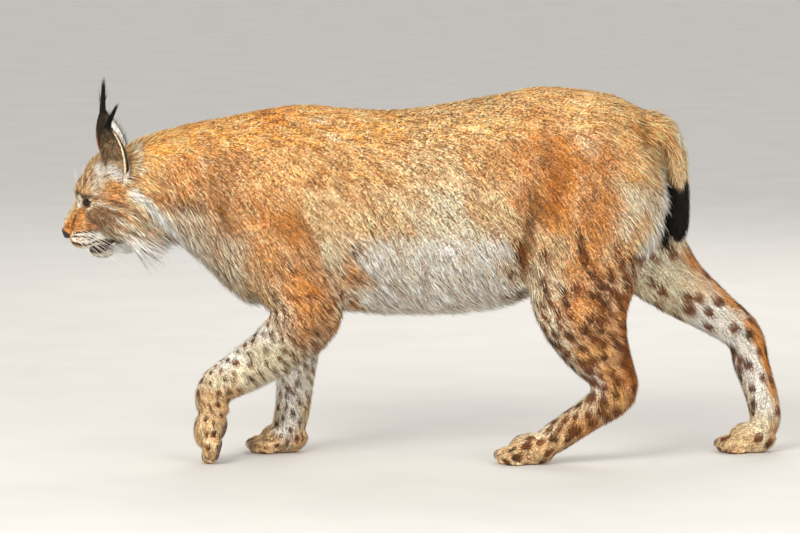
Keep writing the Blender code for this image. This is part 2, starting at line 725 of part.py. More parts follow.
def cut_mouth(head, cutters):
    """Cuts the line of the mouth from corner to corner, along the face's surface."""
    tree = surface_tree(head)
    roll = head_turn()
    inwards = roll.to_3x3() @ Vector((0, 1, 0))
    points = []
    for side, run in ((-1, MOUTH_LINE), (1, MOUTH_LINE[::-1])):
        for x, z in run:
            start = roll @ Vector((x, side * FAR_OUT, z))
            points.append(tree.ray_cast(start, -side * inwards)[0])
    middle = roll @ Vector((-FAR_AHEAD, 0, MOUTH_FRONT_HEIGHT))
    front = tree.ray_cast(middle, Vector((1, 0, 0)))[0]
    points.insert(len(MOUTH_LINE), front)
    boolean(head, tube("mouth_groove", points, MOUTH_RADIUS, cutters))


def surface_tree(obj):
    """A tree for finding points on the object's surface."""
    bm = bmesh.new()
    bm.from_mesh(obj.data)
    tree = BVHTree.FromBMesh(bm)
    bm.free()
    return tree


def nose_form(name, roll, collection):
    """The leather before its nostrils: flat in front, wider above than below."""
    bm = bmesh.new()
    bmesh.ops.create_icosphere(bm, subdivisions=NOSE_DETAIL, radius=1)
    for vertex in bm.verts:
        vertex.co.y *= 1 + NOSE_FLARE * vertex.co.z
        vertex.co.x = max(vertex.co.x, -NOSE_FLAT)
    pad = NOSE_PAD
    tilt = Matrix.Rotation(math.radians(pad.tilt), 4, "Y")
    size = Matrix.Diagonal((pad.long, pad.wide, pad.tall, 1))
    bm.transform(roll @ Matrix.Translation((pad.x, pad.y, pad.z)) @ tilt @ size)
    return mesh_object(name, bm, collection)


def make_nose(head, parts, cutters):
    """The nose leather, let into the end of the muzzle, with its nostrils."""
    roll = head_turn()
    nose = nose_form("nose", roll, parts)
    for side in (-1, 1):
        bm = bmesh.new()
        add_lump(bm, NOSTRIL, roll, side, detail=2)
        boolean(nose, mesh_object("nostril", bm, cutters))
    shape = nose_form("nose_pocket", roll, cutters)
    boolean(head, grown(shape, "nose_room", cutters))
    remove(shape)
    return nose


def lock_mesh(name, root, way, lie, face, size, collection):
    """A flat tapered lock that leaves its root along `way` and bends into its lie.

    `face` is the direction that its flat side looks to, and `size` its length and width.
    """
    length, width = size
    rings = []
    point = root - way * LOCK_SUNK
    last = 0.0
    for along, wide, thick in LOCK_PROFILE:
        heading = (way * (1 - along) + lie * along).normalized()
        step = (along - last) * length + (LOCK_SUNK if along > 0 and last == 0 else 0)
        point = point + heading * step
        last = along
        across = heading.cross(face).normalized()
        out = across.cross(heading).normalized()
        half = 0.5 * width * wide
        deep = LOCK_THICKNESS * thick
        rings.append([point + across * half, point + out * deep, point - across * half])
    bm = bmesh.new()
    loft(bm, rings)
    return mesh_object(name, bm, collection)


def fuse_locks(node, locks, neighbours, cutters):
    """Joins the locks, clears them of the neighbours and fuses them to their node."""
    bundle = bpy.data.collections.new("locks_of_" + node.name)
    bpy.context.scene.collection.children.link(bundle)
    whole = locks[0]
    for lock in locks[1:]:
        bundle.objects.link(lock)
        lock.users_collection[0].objects.unlink(lock)
    modifier = whole.modifiers.new("Union", "BOOLEAN")
    modifier.operation = "UNION"
    modifier.operand_type = "COLLECTION"
    modifier.collection = bundle
    modifier.solver = "EXACT"
    apply_modifiers(whole)
    for lock in locks[1:]:
        remove(lock)
    bpy.data.collections.remove(bundle)
    for other in neighbours:
        shape = grown(other, "room_by_" + node.name, cutters)
        boolean(whole, shape)
        remove(shape)
    boolean(node, whole, "UNION")
    remove(whole)
    keep_largest(node)


def ruff_locks(head, parts):
    """The cheek ruff: rows of locks that hang back and down from jaw corner to ear."""
    tree = surface_tree(head)
    turn = head_turn()
    inwards = turn.to_3x3() @ Vector((0, 1, 0))
    draw = random.Random(LOCK_SEED)
    locks = []
    for row in RUFF_ROWS:
        path = smoothed(row.path, row.count)
        for side in (-1, 1):
            for x, z, slope in path:
                start = turn @ Vector((x, side * FAR_OUT, z))
                root, normal = tree.ray_cast(start, -side * inwards)[:2]
                if root is None:
                    continue
                angle = math.radians(slope + draw.uniform(-RUFF_STRAY, RUFF_STRAY))
                down = Vector((math.cos(angle), 0, -math.sin(angle)))
                outward = normal * (row.lift * draw.uniform(0.8, 1.2))
                way = (down + outward).normalized()
                lie = (down + 0.25 * outward + Vector((0, 0, -0.15))).normalized()
                size = (row.length * draw.uniform(0.85, 1.12), row.width)
                locks.append(lock_mesh("lock", root, way, lie, normal, size, parts))
    return locks


def fringe_locks(node, rows, near, parts):
    """Rows of locks under neck, chest or belly, left out where a leg is close."""
    tree = surface_tree(node)
    draw = random.Random(LOCK_SEED + len(rows))
    locks = []
    for row in rows:
        for k in range(row.count):
            x = row.start + (row.end - row.start) * (k + 0.5) / row.count
            x += draw.uniform(-0.2, 0.2) * (row.end - row.start) / row.count
            angle = math.radians(row.around)
            middle = Vector((x, 0, row.height))
            ray = Vector((0, math.sin(angle), -math.cos(angle)))
            root, normal = tree.ray_cast(middle, ray)[:2]
            if root is None or normal.z > STEEPEST_ROOT:
                continue
            lie = Vector((row.back, 0.25 * math.sin(angle), -row.down)).normalized()
            way = (lie + normal * row.lift).normalized()
            length = row.length * draw.uniform(0.85, 1.15)
            reach = [root + lie * length * t for t in (0.3, 0.65, 1.0)]
            apart = min(leg.find_nearest(spot)[3] for leg in near for spot in reach)
            if apart < LOCK_ROOM or min(spot.z for spot in reach) < LOCK_FLOOR:
                continue
            size = (length, row.width * draw.uniform(0.85, 1.15))
            locks.append(lock_mesh("lock", root, way, lie, normal, size, parts))
    return locks


def tuft_locks(name, side, parts):
    """The pencil of hair on an ear's tip, as a long lock between shorter ones."""
    frame = ear_frame(side)
    tip = frame @ Vector((EAR_CURVE + 0.001, -side * EAR_SWEEP, EAR_HEIGHT - 0.003))
    up = frame.to_3x3() @ Vector(TUFT_WAY[side]).normalized()
    face = frame.to_3x3() @ Vector((-1, 0, 0))
    fan = frame.to_3x3() @ Vector((0, 1, 0))
    locks = []
    for spread, share in TUFT_FAN:
        way = (up + fan * spread).normalized()
        lie = (up + fan * spread * 0.3).normalized()
        size = (TUFT_LENGTH[side] * share, TUFT_WIDTH)
        root = tip + fan * spread * 0.008
        locks.append(lock_mesh("lock", root, way, lie, face, size, parts))
    return locks


def paint(obj, colour, roughness):
    """Gives the object its own material."""
    material = bpy.data.materials.new(obj.name)
    material.use_nodes = True
    shader = material.node_tree.nodes["Principled BSDF"]
    shader.inputs["Base Color"].default_value = (*COLOURS[colour], 1)
    shader.inputs["Roughness"].default_value = roughness
    shader.inputs["Metallic"].default_value = 0
    obj.data.materials.clear()
    obj.data.materials.append(material)
    obj.data.shade_smooth()
    obj.data.set_sharp_from_angle(angle=math.radians(40))


def main():
    for obj in list(bpy.data.objects):
        bpy.data.objects.remove(obj)
    parts = bpy.data.collections.new("eurasian_lynx")
    cutters = bpy.data.collections.new("cutters")
    for collection in (parts, cutters):
        bpy.context.scene.collection.children.link(collection)
    bm = bmesh.new()
    add_trunk(bm)
    for joints in (HIND_LEFT, HIND_RIGHT, FORE_LEFT, FORE_RIGHT, TAIL):
        add_limb(bm, joints)
    add_lump(bm, TAIL_END)
    add_skull(bm)
    body = mesh_object("body", bm, parts)
    fuse_clay(body, FLESH_VOXEL, FLESH_STEPS)
    bm = bmesh.new()
    for place in PAW_PLACES.values():
        add_paw(bm, paw_frame(*place))
    add_face(bm)
    join_mesh(body, bm)
    fuse_clay(body, FACE_VOXEL, FACE_STEPS)
    head = copy_object(body, "head")
    point, normal = HEAD_CUT
    keep_side(head, point + SPARE * normal, -normal)
    keep_side(body, point - SPARE * normal, normal)
    thin_out(head, HEAD_TRIANGLES)
    thin_out(body, BODY_TRIANGLES)
    keep_side(head, point - 0.5 * GAP * normal, -normal)
    keep_side(body, point + 0.5 * GAP * normal, normal)
    keep_side(body, Vector((0, 0, 0)), Vector((0, 0, 1)))
    nodes = part_flesh(body, parts, cutters)
    nodes["head"] = head
    for side, word in ((-1, "left"), (1, "right")):
        name = "ear_" + word
        nodes[name] = make_ear(name, side, head, parts, cutters)
    nodes["nose"] = make_nose(head, parts, cutters)
    cut_mouth(head, cutters)
    for eye in make_eyes(head, parts, cutters):
        nodes[eye.name] = eye
    head_locks = ruff_locks(head, parts)
    fuse_locks(head, head_locks, [nodes["neck"], nodes["torso"]], cutters)
    legs = [surface_tree(nodes[name]) for name in LEGS_BY_LOCKS]
    neck, torso = nodes["neck"], nodes["torso"]
    fuse_locks(neck, fringe_locks(neck, NECK_ROWS, legs, parts), [torso, head], cutters)
    fuse_locks(torso, fringe_locks(torso, CHEST_ROWS + BELLY_ROWS, legs, parts), [], cutters)
    for side, word in ((-1, "left"), (1, "right")):
        ear = nodes["ear_" + word]
        fuse_locks(ear, tuft_locks(ear.name, side, parts), [], cutters)
    for name, obj in nodes.items():
        colour, roughness = FINISHES.get(name, ("tan", 0.9))
        paint(obj, colour, roughness)
    for obj in list(cutters.objects):
        obj.hide_render = True
        obj.display_type = "WIRE"


main()
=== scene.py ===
"""The looks of a still, life-size Eurasian lynx in mid walk.

The skin is made again from the same named forms as the solids and pulled in by the depth
of the coat. Fields on the skin say how long the hair is, which way it lies and what
colour it has, and Geometry Nodes grow the coat out of them, piece by piece. Ears, eyes,
nose leather, whiskers, claws and pads are pieces of their own.
"""

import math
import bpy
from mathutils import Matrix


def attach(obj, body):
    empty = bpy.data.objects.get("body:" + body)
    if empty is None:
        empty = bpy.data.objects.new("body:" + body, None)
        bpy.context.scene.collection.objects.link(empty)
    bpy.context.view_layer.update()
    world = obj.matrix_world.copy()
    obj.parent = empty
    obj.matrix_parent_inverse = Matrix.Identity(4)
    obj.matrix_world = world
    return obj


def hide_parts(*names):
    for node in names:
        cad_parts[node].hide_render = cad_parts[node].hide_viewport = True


bl_info = {
    "name": "Eurasian lynx",
    "version": (1, 0, 0),
    "blender": (4, 5, 0),
    "location": "View3D > Sidebar > Lynx",
    "description": "Skin, coat and features of a walking Eurasian lynx",
    "category": "Object",
}

from collections import namedtuple

import bmesh
import bpy
import numpy as np
from bpy.props import (
    FloatProperty,
    FloatVectorProperty,
    IntProperty,
    PointerProperty,
)
from mathutils import Matrix, Vector
from mathutils.bvhtree import BVHTree
from mathutils.kdtree import KDTree

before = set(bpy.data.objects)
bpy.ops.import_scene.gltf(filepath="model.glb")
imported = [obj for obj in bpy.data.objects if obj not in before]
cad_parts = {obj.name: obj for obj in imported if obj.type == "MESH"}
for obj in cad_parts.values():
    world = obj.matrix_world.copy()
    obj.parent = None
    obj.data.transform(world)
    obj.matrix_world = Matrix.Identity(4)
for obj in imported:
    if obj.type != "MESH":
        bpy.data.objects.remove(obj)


def table(kind, *rows):
    """The rows of a table, each with its named fields."""
    return [kind(*row) for row in rows]


# The flesh, in metres, as the solids have it
FLESH_VOXEL = 0.0035
FLESH_STEPS = 32
FACE_VOXEL = 0.0025
FACE_STEPS = 6
SINK = 0.0025
SKIN_TRIANGLES = 185000
BODY_START = -0.44  # behind this the skin may be thinned
HEAD_ROLL = math.radians(4)
HEAD_YAW = math.radians(4)
HEAD_PIVOT = Vector((-0.50, 0, 0.43))
HEAD_CUT = (Vector((-0.4675, 0, 0.43)), Vector((1, 0, 0.10)).normalized())
EYE_RADIUS = 0.0135
EYE_PLACE = Vector((-0.5505, 0.0268, 0.4345))
EYE_TURN = 48
LID_LENGTH = 0.0235
LID_HEIGHT = 0.0150
LID_DEPTH = 0.016
LID_TAPER = 0.75
LID_SLANT = 14
LID_THICKNESS = 0.0036
LID_POINTS = 56
EAR_HEIGHT = 0.090
EAR_ROOT = 0.007
EAR_SWEEP = 0.018
EAR_RADIUS = 0.0215
EAR_DEPTH = 0.78
EAR_CURVE = -0.004
EAR_ROWS = 30
EAR_POINTS = 36
EAR_THICKNESS = 0.0018
EAR_WRAP = 120
EAR_TIP_WRAP = 75
EAR_TIP_RADIUS = 0.0016
EAR_OFFSET = 0.35
EAR_PLACE = {-1: Vector((-0.505, -0.043, 0.483)), 1: Vector((-0.508, 0.043, 0.487))}
EAR_LEAN = {-1: 20, 1: 6}
EAR_NOD = {-1: 2.5, 1: 4}
EAR_TURN = {-1: 55, 1: 72}
TUFT_LENGTH = {-1: 0.040, 1: 0.048}
TUFT_WAY = {-1: (0.15, -0.50, 1), 1: (0.02, 0.13, 1)}
MOUTH_LINE = [
    (-0.508, 0.3690), (-0.522, 0.3625), (-0.538, 0.3560), (-0.556, 0.3535), (-0.570, 0.3570),
]
MOUTH_FRONT_HEIGHT = 0.3620
MOUTH_DEPTH = 0.0028
FAR_OUT = 0.2
FAR_AHEAD = 0.7
# The photo's view: degrees above level, the point it looks at, and how far away it stands
VIEW_ELEVATION = 6
VIEW_AIM = Vector((-0.0383, 0, 0.321))
VIEW_DISTANCE = 8.0

Section = namedtuple("Section", "x top bottom half_width")
Joint = namedtuple("Joint", "x y z deep wide")
Lump = namedtuple("Lump", "x y z long wide tall tilt")

TRUNK = table(
    Section,
    (-0.500, 0.520, 0.385, 0.055), (-0.460, 0.541, 0.368, 0.068), (-0.415, 0.556, 0.361, 0.076),
    (-0.372, 0.566, 0.332, 0.084), (-0.330, 0.573, 0.290, 0.094), (-0.288, 0.582, 0.261, 0.102),
    (-0.205, 0.594, 0.252, 0.108), (-0.122, 0.588, 0.245, 0.112), (-0.038, 0.586, 0.242, 0.116),
    (0.045, 0.598, 0.243, 0.116), (0.128, 0.612, 0.254, 0.110), (0.195, 0.624, 0.280, 0.108),
    (0.295, 0.615, 0.340, 0.100), (0.345, 0.597, 0.390, 0.080), (0.376, 0.576, 0.450, 0.044),
)
TRUNK_RINGS = 48
TRUNK_SIDES = 40
TRUNK_MIDDLE = 0.48
TRUNK_PEAR = 0.10
HIND_LEFT = table(
    Joint,
    (0.280, -0.040, 0.565, 0.045, 0.030), (0.285, -0.056, 0.500, 0.100, 0.044),
    (0.284, -0.063, 0.430, 0.118, 0.054), (0.265, -0.070, 0.350, 0.102, 0.052),
    (0.262, -0.074, 0.265, 0.085, 0.046), (0.283, -0.076, 0.200, 0.062, 0.038),
    (0.312, -0.076, 0.150, 0.043, 0.031), (0.318, -0.075, 0.118, 0.038, 0.028),
    (0.270, -0.073, 0.080, 0.030, 0.028), (0.222, -0.071, 0.046, 0.028, 0.030),
    (0.195, -0.070, 0.028, 0.024, 0.030),
)
HIND_RIGHT = table(
    Joint,
    (0.280, 0.040, 0.565, 0.045, 0.030), (0.290, 0.056, 0.500, 0.098, 0.044),
    (0.318, 0.064, 0.430, 0.105, 0.052), (0.362, 0.070, 0.355, 0.082, 0.046),
    (0.420, 0.072, 0.290, 0.058, 0.038), (0.490, 0.072, 0.238, 0.042, 0.031),
    (0.540, 0.070, 0.198, 0.035, 0.027), (0.553, 0.069, 0.150, 0.033, 0.026),
    (0.570, 0.067, 0.100, 0.030, 0.027), (0.578, 0.066, 0.055, 0.028, 0.030),
    (0.565, 0.066, 0.030, 0.024, 0.031),
)
FORE_LEFT = table(
    Joint,
    (-0.215, -0.050, 0.500, 0.070, 0.040), (-0.225, -0.066, 0.410, 0.095, 0.042),
    (-0.205, -0.072, 0.310, 0.080, 0.042), (-0.192, -0.074, 0.250, 0.060, 0.038),
    (-0.245, -0.073, 0.192, 0.047, 0.034), (-0.300, -0.071, 0.155, 0.040, 0.031),
    (-0.340, -0.069, 0.130, 0.034, 0.029), (-0.352, -0.067, 0.105, 0.029, 0.029),
    (-0.340, -0.066, 0.075, 0.026, 0.031),
)
FORE_RIGHT = table(
    Joint,
    (-0.215, 0.050, 0.500, 0.070, 0.040), (-0.225, 0.066, 0.410, 0.090, 0.042),
    (-0.208, 0.072, 0.310, 0.068, 0.042), (-0.205, 0.073, 0.240, 0.050, 0.037),
    (-0.212, 0.071, 0.170, 0.040, 0.032), (-0.216, 0.069, 0.110, 0.034, 0.029),
    (-0.220, 0.067, 0.070, 0.032, 0.030), (-0.228, 0.066, 0.035, 0.030, 0.031),
)
TAIL = table(
    Joint,
    (0.350, 0, 0.560, 0.028, 0.030), (0.388, 0, 0.557, 0.025, 0.027),
    (0.411, 0, 0.533, 0.022, 0.024), (0.422, 0, 0.490, 0.021, 0.022),
    (0.424, 0, 0.440, 0.022, 0.022), (0.424, 0, 0.400, 0.022, 0.022),
    (0.423, 0, 0.378, 0.016, 0.016),
)
TAIL_END = Lump(0.4235, 0, 0.388, 0.022, 0.022, 0.022, 0)
SKULL = Lump(-0.507, 0, 0.466, 0.061, 0.056, 0.055, 0)
BROW = Lump(-0.552, 0, 0.446, 0.030, 0.036, 0.034, 0)
NAPE = Lump(-0.475, 0, 0.455, 0.062, 0.064, 0.070, 0)
THROAT = Lump(-0.468, 0, 0.398, 0.052, 0.056, 0.048, 0)
MUZZLE = Lump(-0.553, 0, 0.388, 0.036, 0.026, 0.030, 0)
JAW = Lump(-0.507, 0, 0.366, 0.044, 0.036, 0.025, 0)
CHEEK = Lump(-0.503, 0.036, 0.412, 0.044, 0.034, 0.044, 0)
TEMPLE = Lump(-0.530, 0.030, 0.440, 0.030, 0.026, 0.034, 0)
CHIN = Lump(-0.534, 0, 0.350, 0.023, 0.0175, 0.0155, 0)
WHISKER_PAD = Lump(-0.5655, 0.0145, 0.3715, 0.0235, 0.0165, 0.0190, 0)
BROW_RIDGE = Lump(-0.554, 0.0265, 0.4480, 0.019, 0.012, 0.010, 10)
EAR_BASE = Lump(-0.498, 0.040, 0.474, 0.026, 0.020, 0.022, 0)
CHEEKBONE = Lump(-0.536, 0.032, 0.416, 0.027, 0.015, 0.020, 20)
MUZZLE_SIDE = Lump(-0.553, 0.0140, 0.403, 0.020, 0.0125, 0.024, 20)
NOSE_BRIDGE = table(
    Joint,
    (-0.550, 0, 0.450, 0.024, 0.021), (-0.561, 0, 0.426, 0.020, 0.0165),
    (-0.5725, 0, 0.403, 0.0180, 0.0145), (-0.5845, 0, 0.3850, 0.0150, 0.0140),
)
BRIDGE_END = (-0.5960, 0, 0.3990)
NOSE_PAD = Lump(-0.5900, 0, 0.3790, 0.0115, 0.0155, 0.0105, -20)
NOSE_FLARE = 0.22
NOSE_FLAT = 0.86
NOSTRIL = Lump(-0.6000, 0.0085, 0.3785, 0.0060, 0.0026, 0.0034, 0)
RUFF_CORE = Lump(-0.482, 0.048, 0.386, 0.024, 0.018, 0.034, -30)
PAW_PAD = Lump(0.004, 0, 0.025, 0.042, 0.035, 0.028, 0)
TOE_SIZE = (0.023, 0.0130, 0.0160)
# A claw's curve ahead of and above its toe's middle, and its radii
CLAW_CURVE = [(-0.013, 0.0200), (-0.0185, 0.0200), (-0.0225, 0.0165), (-0.0240, 0.0115)]
CLAW_RADII = [0.0016, 0.0015, 0.0010, 0.0002]
SOLE_HEIGHT = 0.0012  # the skin's sole stands on the pads
TOE_CREASE = [(-0.058, 0.006), (-0.054, 0.020), (-0.042, 0.031), (-0.024, 0.040), (-0.012, 0.046)]
CREASE_DEPTH = 0.0034
TOE_GAP = 0.0160
TOE_OFFSETS = [(-0.026, -0.0235), (-0.037, -0.0085), (-0.037, 0.0085), (-0.026, 0.0235)]
PAW_PLACES = {
    "hind_left": (0.178, -0.070, 0, 0),
    "hind_right": (0.552, 0.066, 0, 0),
    "fore_right": (-0.238, 0.066, 0, 0),
    "fore_left": (-0.330, -0.066, 0.052, -74),
}

# The coat's colours, as linear red, green and blue
GOLD = (0.88, 0.36, 0.060)
HONEY = (0.93, 0.46, 0.15)
AMBER = (0.82, 0.30, 0.030)
SAND = (0.82, 0.38, 0.11)
OAT = (0.84, 0.52, 0.26)
CREAM = (0.95, 0.80, 0.56)
WHITE = (0.97, 0.93, 0.85)
PALE = (0.82, 0.71, 0.57)
SILVER = (0.66, 0.54, 0.40)
FAWN = (0.66, 0.24, 0.045)
RUST = (0.68, 0.24, 0.022)
BROWN = (0.50, 0.19, 0.040)
CHESTNUT = (0.46, 0.13, 0.010)
SHADE = (0.120, 0.090, 0.050)
ASH = (0.28, 0.20, 0.12)
UMBER = (0.17, 0.070, 0.022)
DUSK = (0.060, 0.022, 0.008)
SPOT_RED = (0.17, 0.050, 0.012)
SOOT = (0.030, 0.018, 0.011)
BLACK = (0.010, 0.008, 0.006)

# The skin lies below the coat's surface by at most this, in metres. A hair is this wide, and
# wider by a share of its length, up to that of a long hair.
INSET_MOST = 0.0065
HAIR_WIDTH = 0.00050
HAIR_WIDENING = 0.0135
LONG_HAIR = 0.045
# The trunk's coat by how far up the side: 1 is the spine and -1 the belly's middle.
# Degrees of the lie below level, length in millimetres, degrees that it stands off.
Level = namedtuple("Level", "up lie hair lift")
TRUNK_LEVELS = table(
    Level,
    (1.00, 4, 14, 16), (0.80, 20, 14, 15), (0.45, 44, 16, 15), (0.05, 54, 19, 15),
    (-0.40, 58, 23, 15), (-0.80, 55, 28, 17), (-1.00, 30, 31, 20),
)
# Stations along the trunk: X, how long the hair is against the level's own length, the
# colours from spine to belly, and how strong brown flecks and cream are
Station = namedtuple("Station", "x long colours fleck cream")
TRUNK_STATIONS = table(
    Station,
    (-0.445, 1.30, (GOLD, GOLD, SAND, BROWN, SILVER, WHITE, WHITE), 0.4, 0.6),
    (-0.400, 1.20, (GOLD, GOLD, FAWN, BROWN, SILVER, PALE, PALE), 0.7, 0.7),
    (-0.330, 1.00, (GOLD, GOLD, BROWN, BROWN, SILVER, SILVER, PALE), 1.0, 0.8),
    (-0.260, 0.85, (AMBER, GOLD, SAND, FAWN, FAWN, OAT, CREAM), 0.9, 0.7),
    (-0.180, 0.95, (GOLD, GOLD, SAND, OAT, CREAM, WHITE, WHITE), 0.8, 0.9),
    (-0.080, 1.00, (GOLD, GOLD, SAND, OAT, WHITE, WHITE, WHITE), 1.0, 1.0),
    (0.030, 1.00, (HONEY, HONEY, OAT, CREAM, WHITE, WHITE, WHITE), 1.0, 1.0),
    (0.110, 1.00, (HONEY, HONEY, SAND, OAT, WHITE, WHITE, WHITE), 1.0, 0.9),
    (0.180, 0.90, (HONEY, SAND, FAWN, BROWN, OAT, CREAM, WHITE), 0.8, 0.6),
    (0.260, 0.85, (HONEY, HONEY, FAWN, FAWN, FAWN, OAT, CREAM), 0.75, 0.8),
    (0.340, 0.95, (HONEY, HONEY, SAND, SAND, CREAM, WHITE, WHITE), 0.65, 0.8),
)
# The legs' coat by joint: length and stand-off, the colours of front, rear, outer and
# inner side, and how strong brown flecks, cream and spots are
LegCoat = namedtuple("LegCoat", "joint hair lift front rear outer inner fleck cream spot")
HIND_COAT = table(
    LegCoat,
    (1, 16, 16, BROWN, SAND, FAWN, OAT, 0.9, 0.6, 0),
    (2, 17, 16, CHESTNUT, CREAM, FAWN, OAT, 0.9, 0.6, 0.1),
    (3, 16, 17, OAT, CREAM, FAWN, CREAM, 0.9, 0.6, 0.9),
    (4, 14, 18, CREAM, FAWN, FAWN, CREAM, 0.9, 0.5, 1.0),
    (5, 13, 19, WHITE, RUST, SAND, WHITE, 0.8, 0.5, 1.0),
    (6, 12, 19, WHITE, CHESTNUT, SAND, WHITE, 0.8, 0.5, 1.0),
    (7, 13, 18, WHITE, CHESTNUT, SAND, WHITE, 0.7, 0.4, 1.0),
    (8, 11, 18, CREAM, RUST, SAND, WHITE, 0.5, 0.4, 0.7),
    (9, 10, 17, CREAM, BROWN, OAT, CREAM, 0.5, 0.4, 0.5),
    (10, 9, 16, CREAM, OAT, OAT, CREAM, 0.4, 0.4, 0.4),
)
FORE_COAT = table(
    LegCoat,
    (1, 21, 14, SAND, SAND, SAND, OAT, 0.7, 0.5, 0.1),
    (2, 20, 15, OAT, FAWN, FAWN, CREAM, 0.8, 0.5, 0.5),
    (3, 15, 18, CREAM, RUST, FAWN, CREAM, 0.8, 0.5, 1.0),
    (4, 12, 20, WHITE, CREAM, CREAM, WHITE, 0.4, 0.6, 1.0),
    (5, 11, 22, WHITE, CREAM, CREAM, WHITE, 0.3, 0.6, 1.0),
    (6, 10, 21, CREAM, OAT, CREAM, WHITE, 0.4, 0.6, 1.0),
    (7, 9, 20, OAT, SAND, OAT, WHITE, 0.7, 0.5, 0.7),
)
TAIL_COAT = table(
    LegCoat,
    (1, 19, 17, SAND, OAT, SAND, SAND, 0.5, 0.5, 0),
    (2, 20, 20, SAND, CREAM, SAND, SAND, 0.5, 0.5, 0),
    (3, 18, 18, OAT, CREAM, OAT, OAT, 0.4, 0.4, 0),
)
# Places on a paw in its own frame, and the coat there: length, stand-off, colour, strengths
PAW_SPOTS = [
    (-0.055, 0, 0.014), (-0.020, 0, 0.045), (0.030, 0, 0.030), (-0.01, 0.035, 0.02),
    (-0.01, -0.035, 0.02), (-0.040, 0.02, 0.028), (-0.040, -0.02, 0.028),
]
PAW_COAT = (8, 20, OAT, 0.9, 0.9, 0.3)
TAIL_BLACK_LEVEL = 0.466  # the tail is black below this height
TAIL_BORDER = 0.008
WHISKER_DOT = 0.0019
# How far apart the spots of hind and forelegs are, and the seed of their places
HIND_SPOT_PITCH = 0.0185
FORE_SPOT_PITCH = 0.0155
SPOT_SEED = 4
# The head's coat in the head's own frame: place, then the lie as a direction, length,
# stand-off, colour and strengths. The left side takes the same with Y reversed.
HeadCoat = namedtuple("HeadCoat", "x y z lie hair lift colour fleck cream")
HEAD_COAT = table(
    HeadCoat,
    (-0.590, 0.010, 0.390, (1.0, 0.10, 0.6), 4, 24, RUST, 0, 0.2),
    (-0.582, 0.006, 0.405, (1.0, 0.10, 1.2), 5, 28, SAND, 0, 0.4),
    (-0.572, 0.006, 0.430, (0.8, 0.10, 1.6), 6, 28, OAT, 0.3, 0.5),
    (-0.572, 0.006, 0.455, (1.0, 0.10, 1.4), 7, 22, OAT, 0.8, 0.5),
    (-0.560, 0.020, 0.474, (1.0, 0.30, 0.9), 8, 16, OAT, 0.9, 0.5),
    (-0.530, 0.010, 0.510, (1.0, 0.10, 0.5), 10, 18, OAT, 0.8, 0.5),
    (-0.490, 0.010, 0.522, (1.0, 0.0, 0.6), 24, 32, SAND, 0.5, 0.5),
    (-0.455, 0.010, 0.525, (1.0, 0.0, 0.1), 26, 26, GOLD, 0.4, 0.5),
    (-0.545, 0.045, 0.470, (1.0, 0.10, 0.3), 8, 13, PALE, 0.8, 0.5),
    (-0.520, 0.052, 0.450, (1.0, 0.10, -0.1), 11, 14, FAWN, 0.5, 0.5),
    (-0.490, 0.060, 0.450, (1.0, 0.20, -0.5), 20, 15, OAT, 0.7, 0.8),
    (-0.460, 0.065, 0.460, (1.0, 0.10, -0.6), 24, 14, SAND, 0.6, 0.7),
    (-0.575, 0.018, 0.410, (1.0, 0.30, 0.3), 3.5, 14, FAWN, 0.9, 0.3),
    (-0.550, 0.038, 0.410, (1.0, 0.20, -0.2), 6, 13, ASH, 0.7, 0.6),
    (-0.530, 0.048, 0.405, (1.0, 0.20, -0.5), 10, 14, ASH, 1.0, 0.8),
    (-0.505, 0.062, 0.400, (1.0, 0.30, -0.9), 20, 16, SILVER, 1.0, 0.6),
    (-0.485, 0.066, 0.410, (1.0, 0.30, -0.9), 34, 18, CREAM, 0.7, 0.9),
    (-0.480, 0.064, 0.385, (1.0, 0.20, -0.68), 58, 20, WHITE, 0.2, 0.3),
    (-0.492, 0.050, 0.360, (1.0, 0.15, -0.55), 62, 22, WHITE, 0, 0.1),
    (-0.578, 0.022, 0.378, (1.0, 0.35, 0.0), 3.5, 12, OAT, 0.7, 0.4),
    (-0.558, 0.030, 0.370, (1.0, 0.20, -0.1), 5, 13, PALE, 0.4, 0.3),
    (-0.535, 0.034, 0.370, (1.0, 0.20, -0.3), 8, 14, PALE, 0.3, 0.4),
    (-0.515, 0.040, 0.355, (1.0, 0.20, -0.6), 22, 18, WHITE, 0.1, 0.2),
    (-0.550, 0.008, 0.340, (1.0, 0.05, -0.2), 5, 14, PALE, 0, 0.2),
    (-0.530, 0.010, 0.336, (1.0, 0.05, -0.3), 9, 16, PALE, 0, 0.2),
    (-0.505, 0.010, 0.342, (1.0, 0.05, -0.4), 20, 20, WHITE, 0, 0.1),
    (-0.475, 0.010, 0.345, (1.0, 0.0, -0.5), 44, 22, WHITE, 0, 0.1),
)
# Long hair behind the thighs and under the tail's root: place, lie, length, stand-off
FRINGE = [
    ((0.372, 0.018, 0.540), (0.85, 0, -0.50), 40, 54, SAND),
    ((0.380, 0.010, 0.520), (0.85, 0, -0.50), 44, 62, SAND),
    ((0.385, 0.022, 0.500), (0.80, 0, -0.60), 42, 56, OAT),
    ((0.392, 0.030, 0.490), (0.65, 0, -0.76), 32, 34, CREAM),
    ((0.394, 0.045, 0.455), (0.60, 0, -0.80), 34, 32, WHITE),
    ((0.388, 0.055, 0.410), (0.55, 0, -0.83), 34, 30, WHITE),
    ((0.372, 0.060, 0.365), (0.45, 0, -0.89), 28, 24, WHITE),
    ((0.382, 0.000, 0.500), (0.70, 0, -0.71), 34, 46, SAND),
    ((0.378, 0.000, 0.450), (0.70, 0, -0.71), 32, 36, WHITE),
    ((0.370, 0.010, 0.410), (0.65, 0, -0.76), 32, 34, WHITE),
]
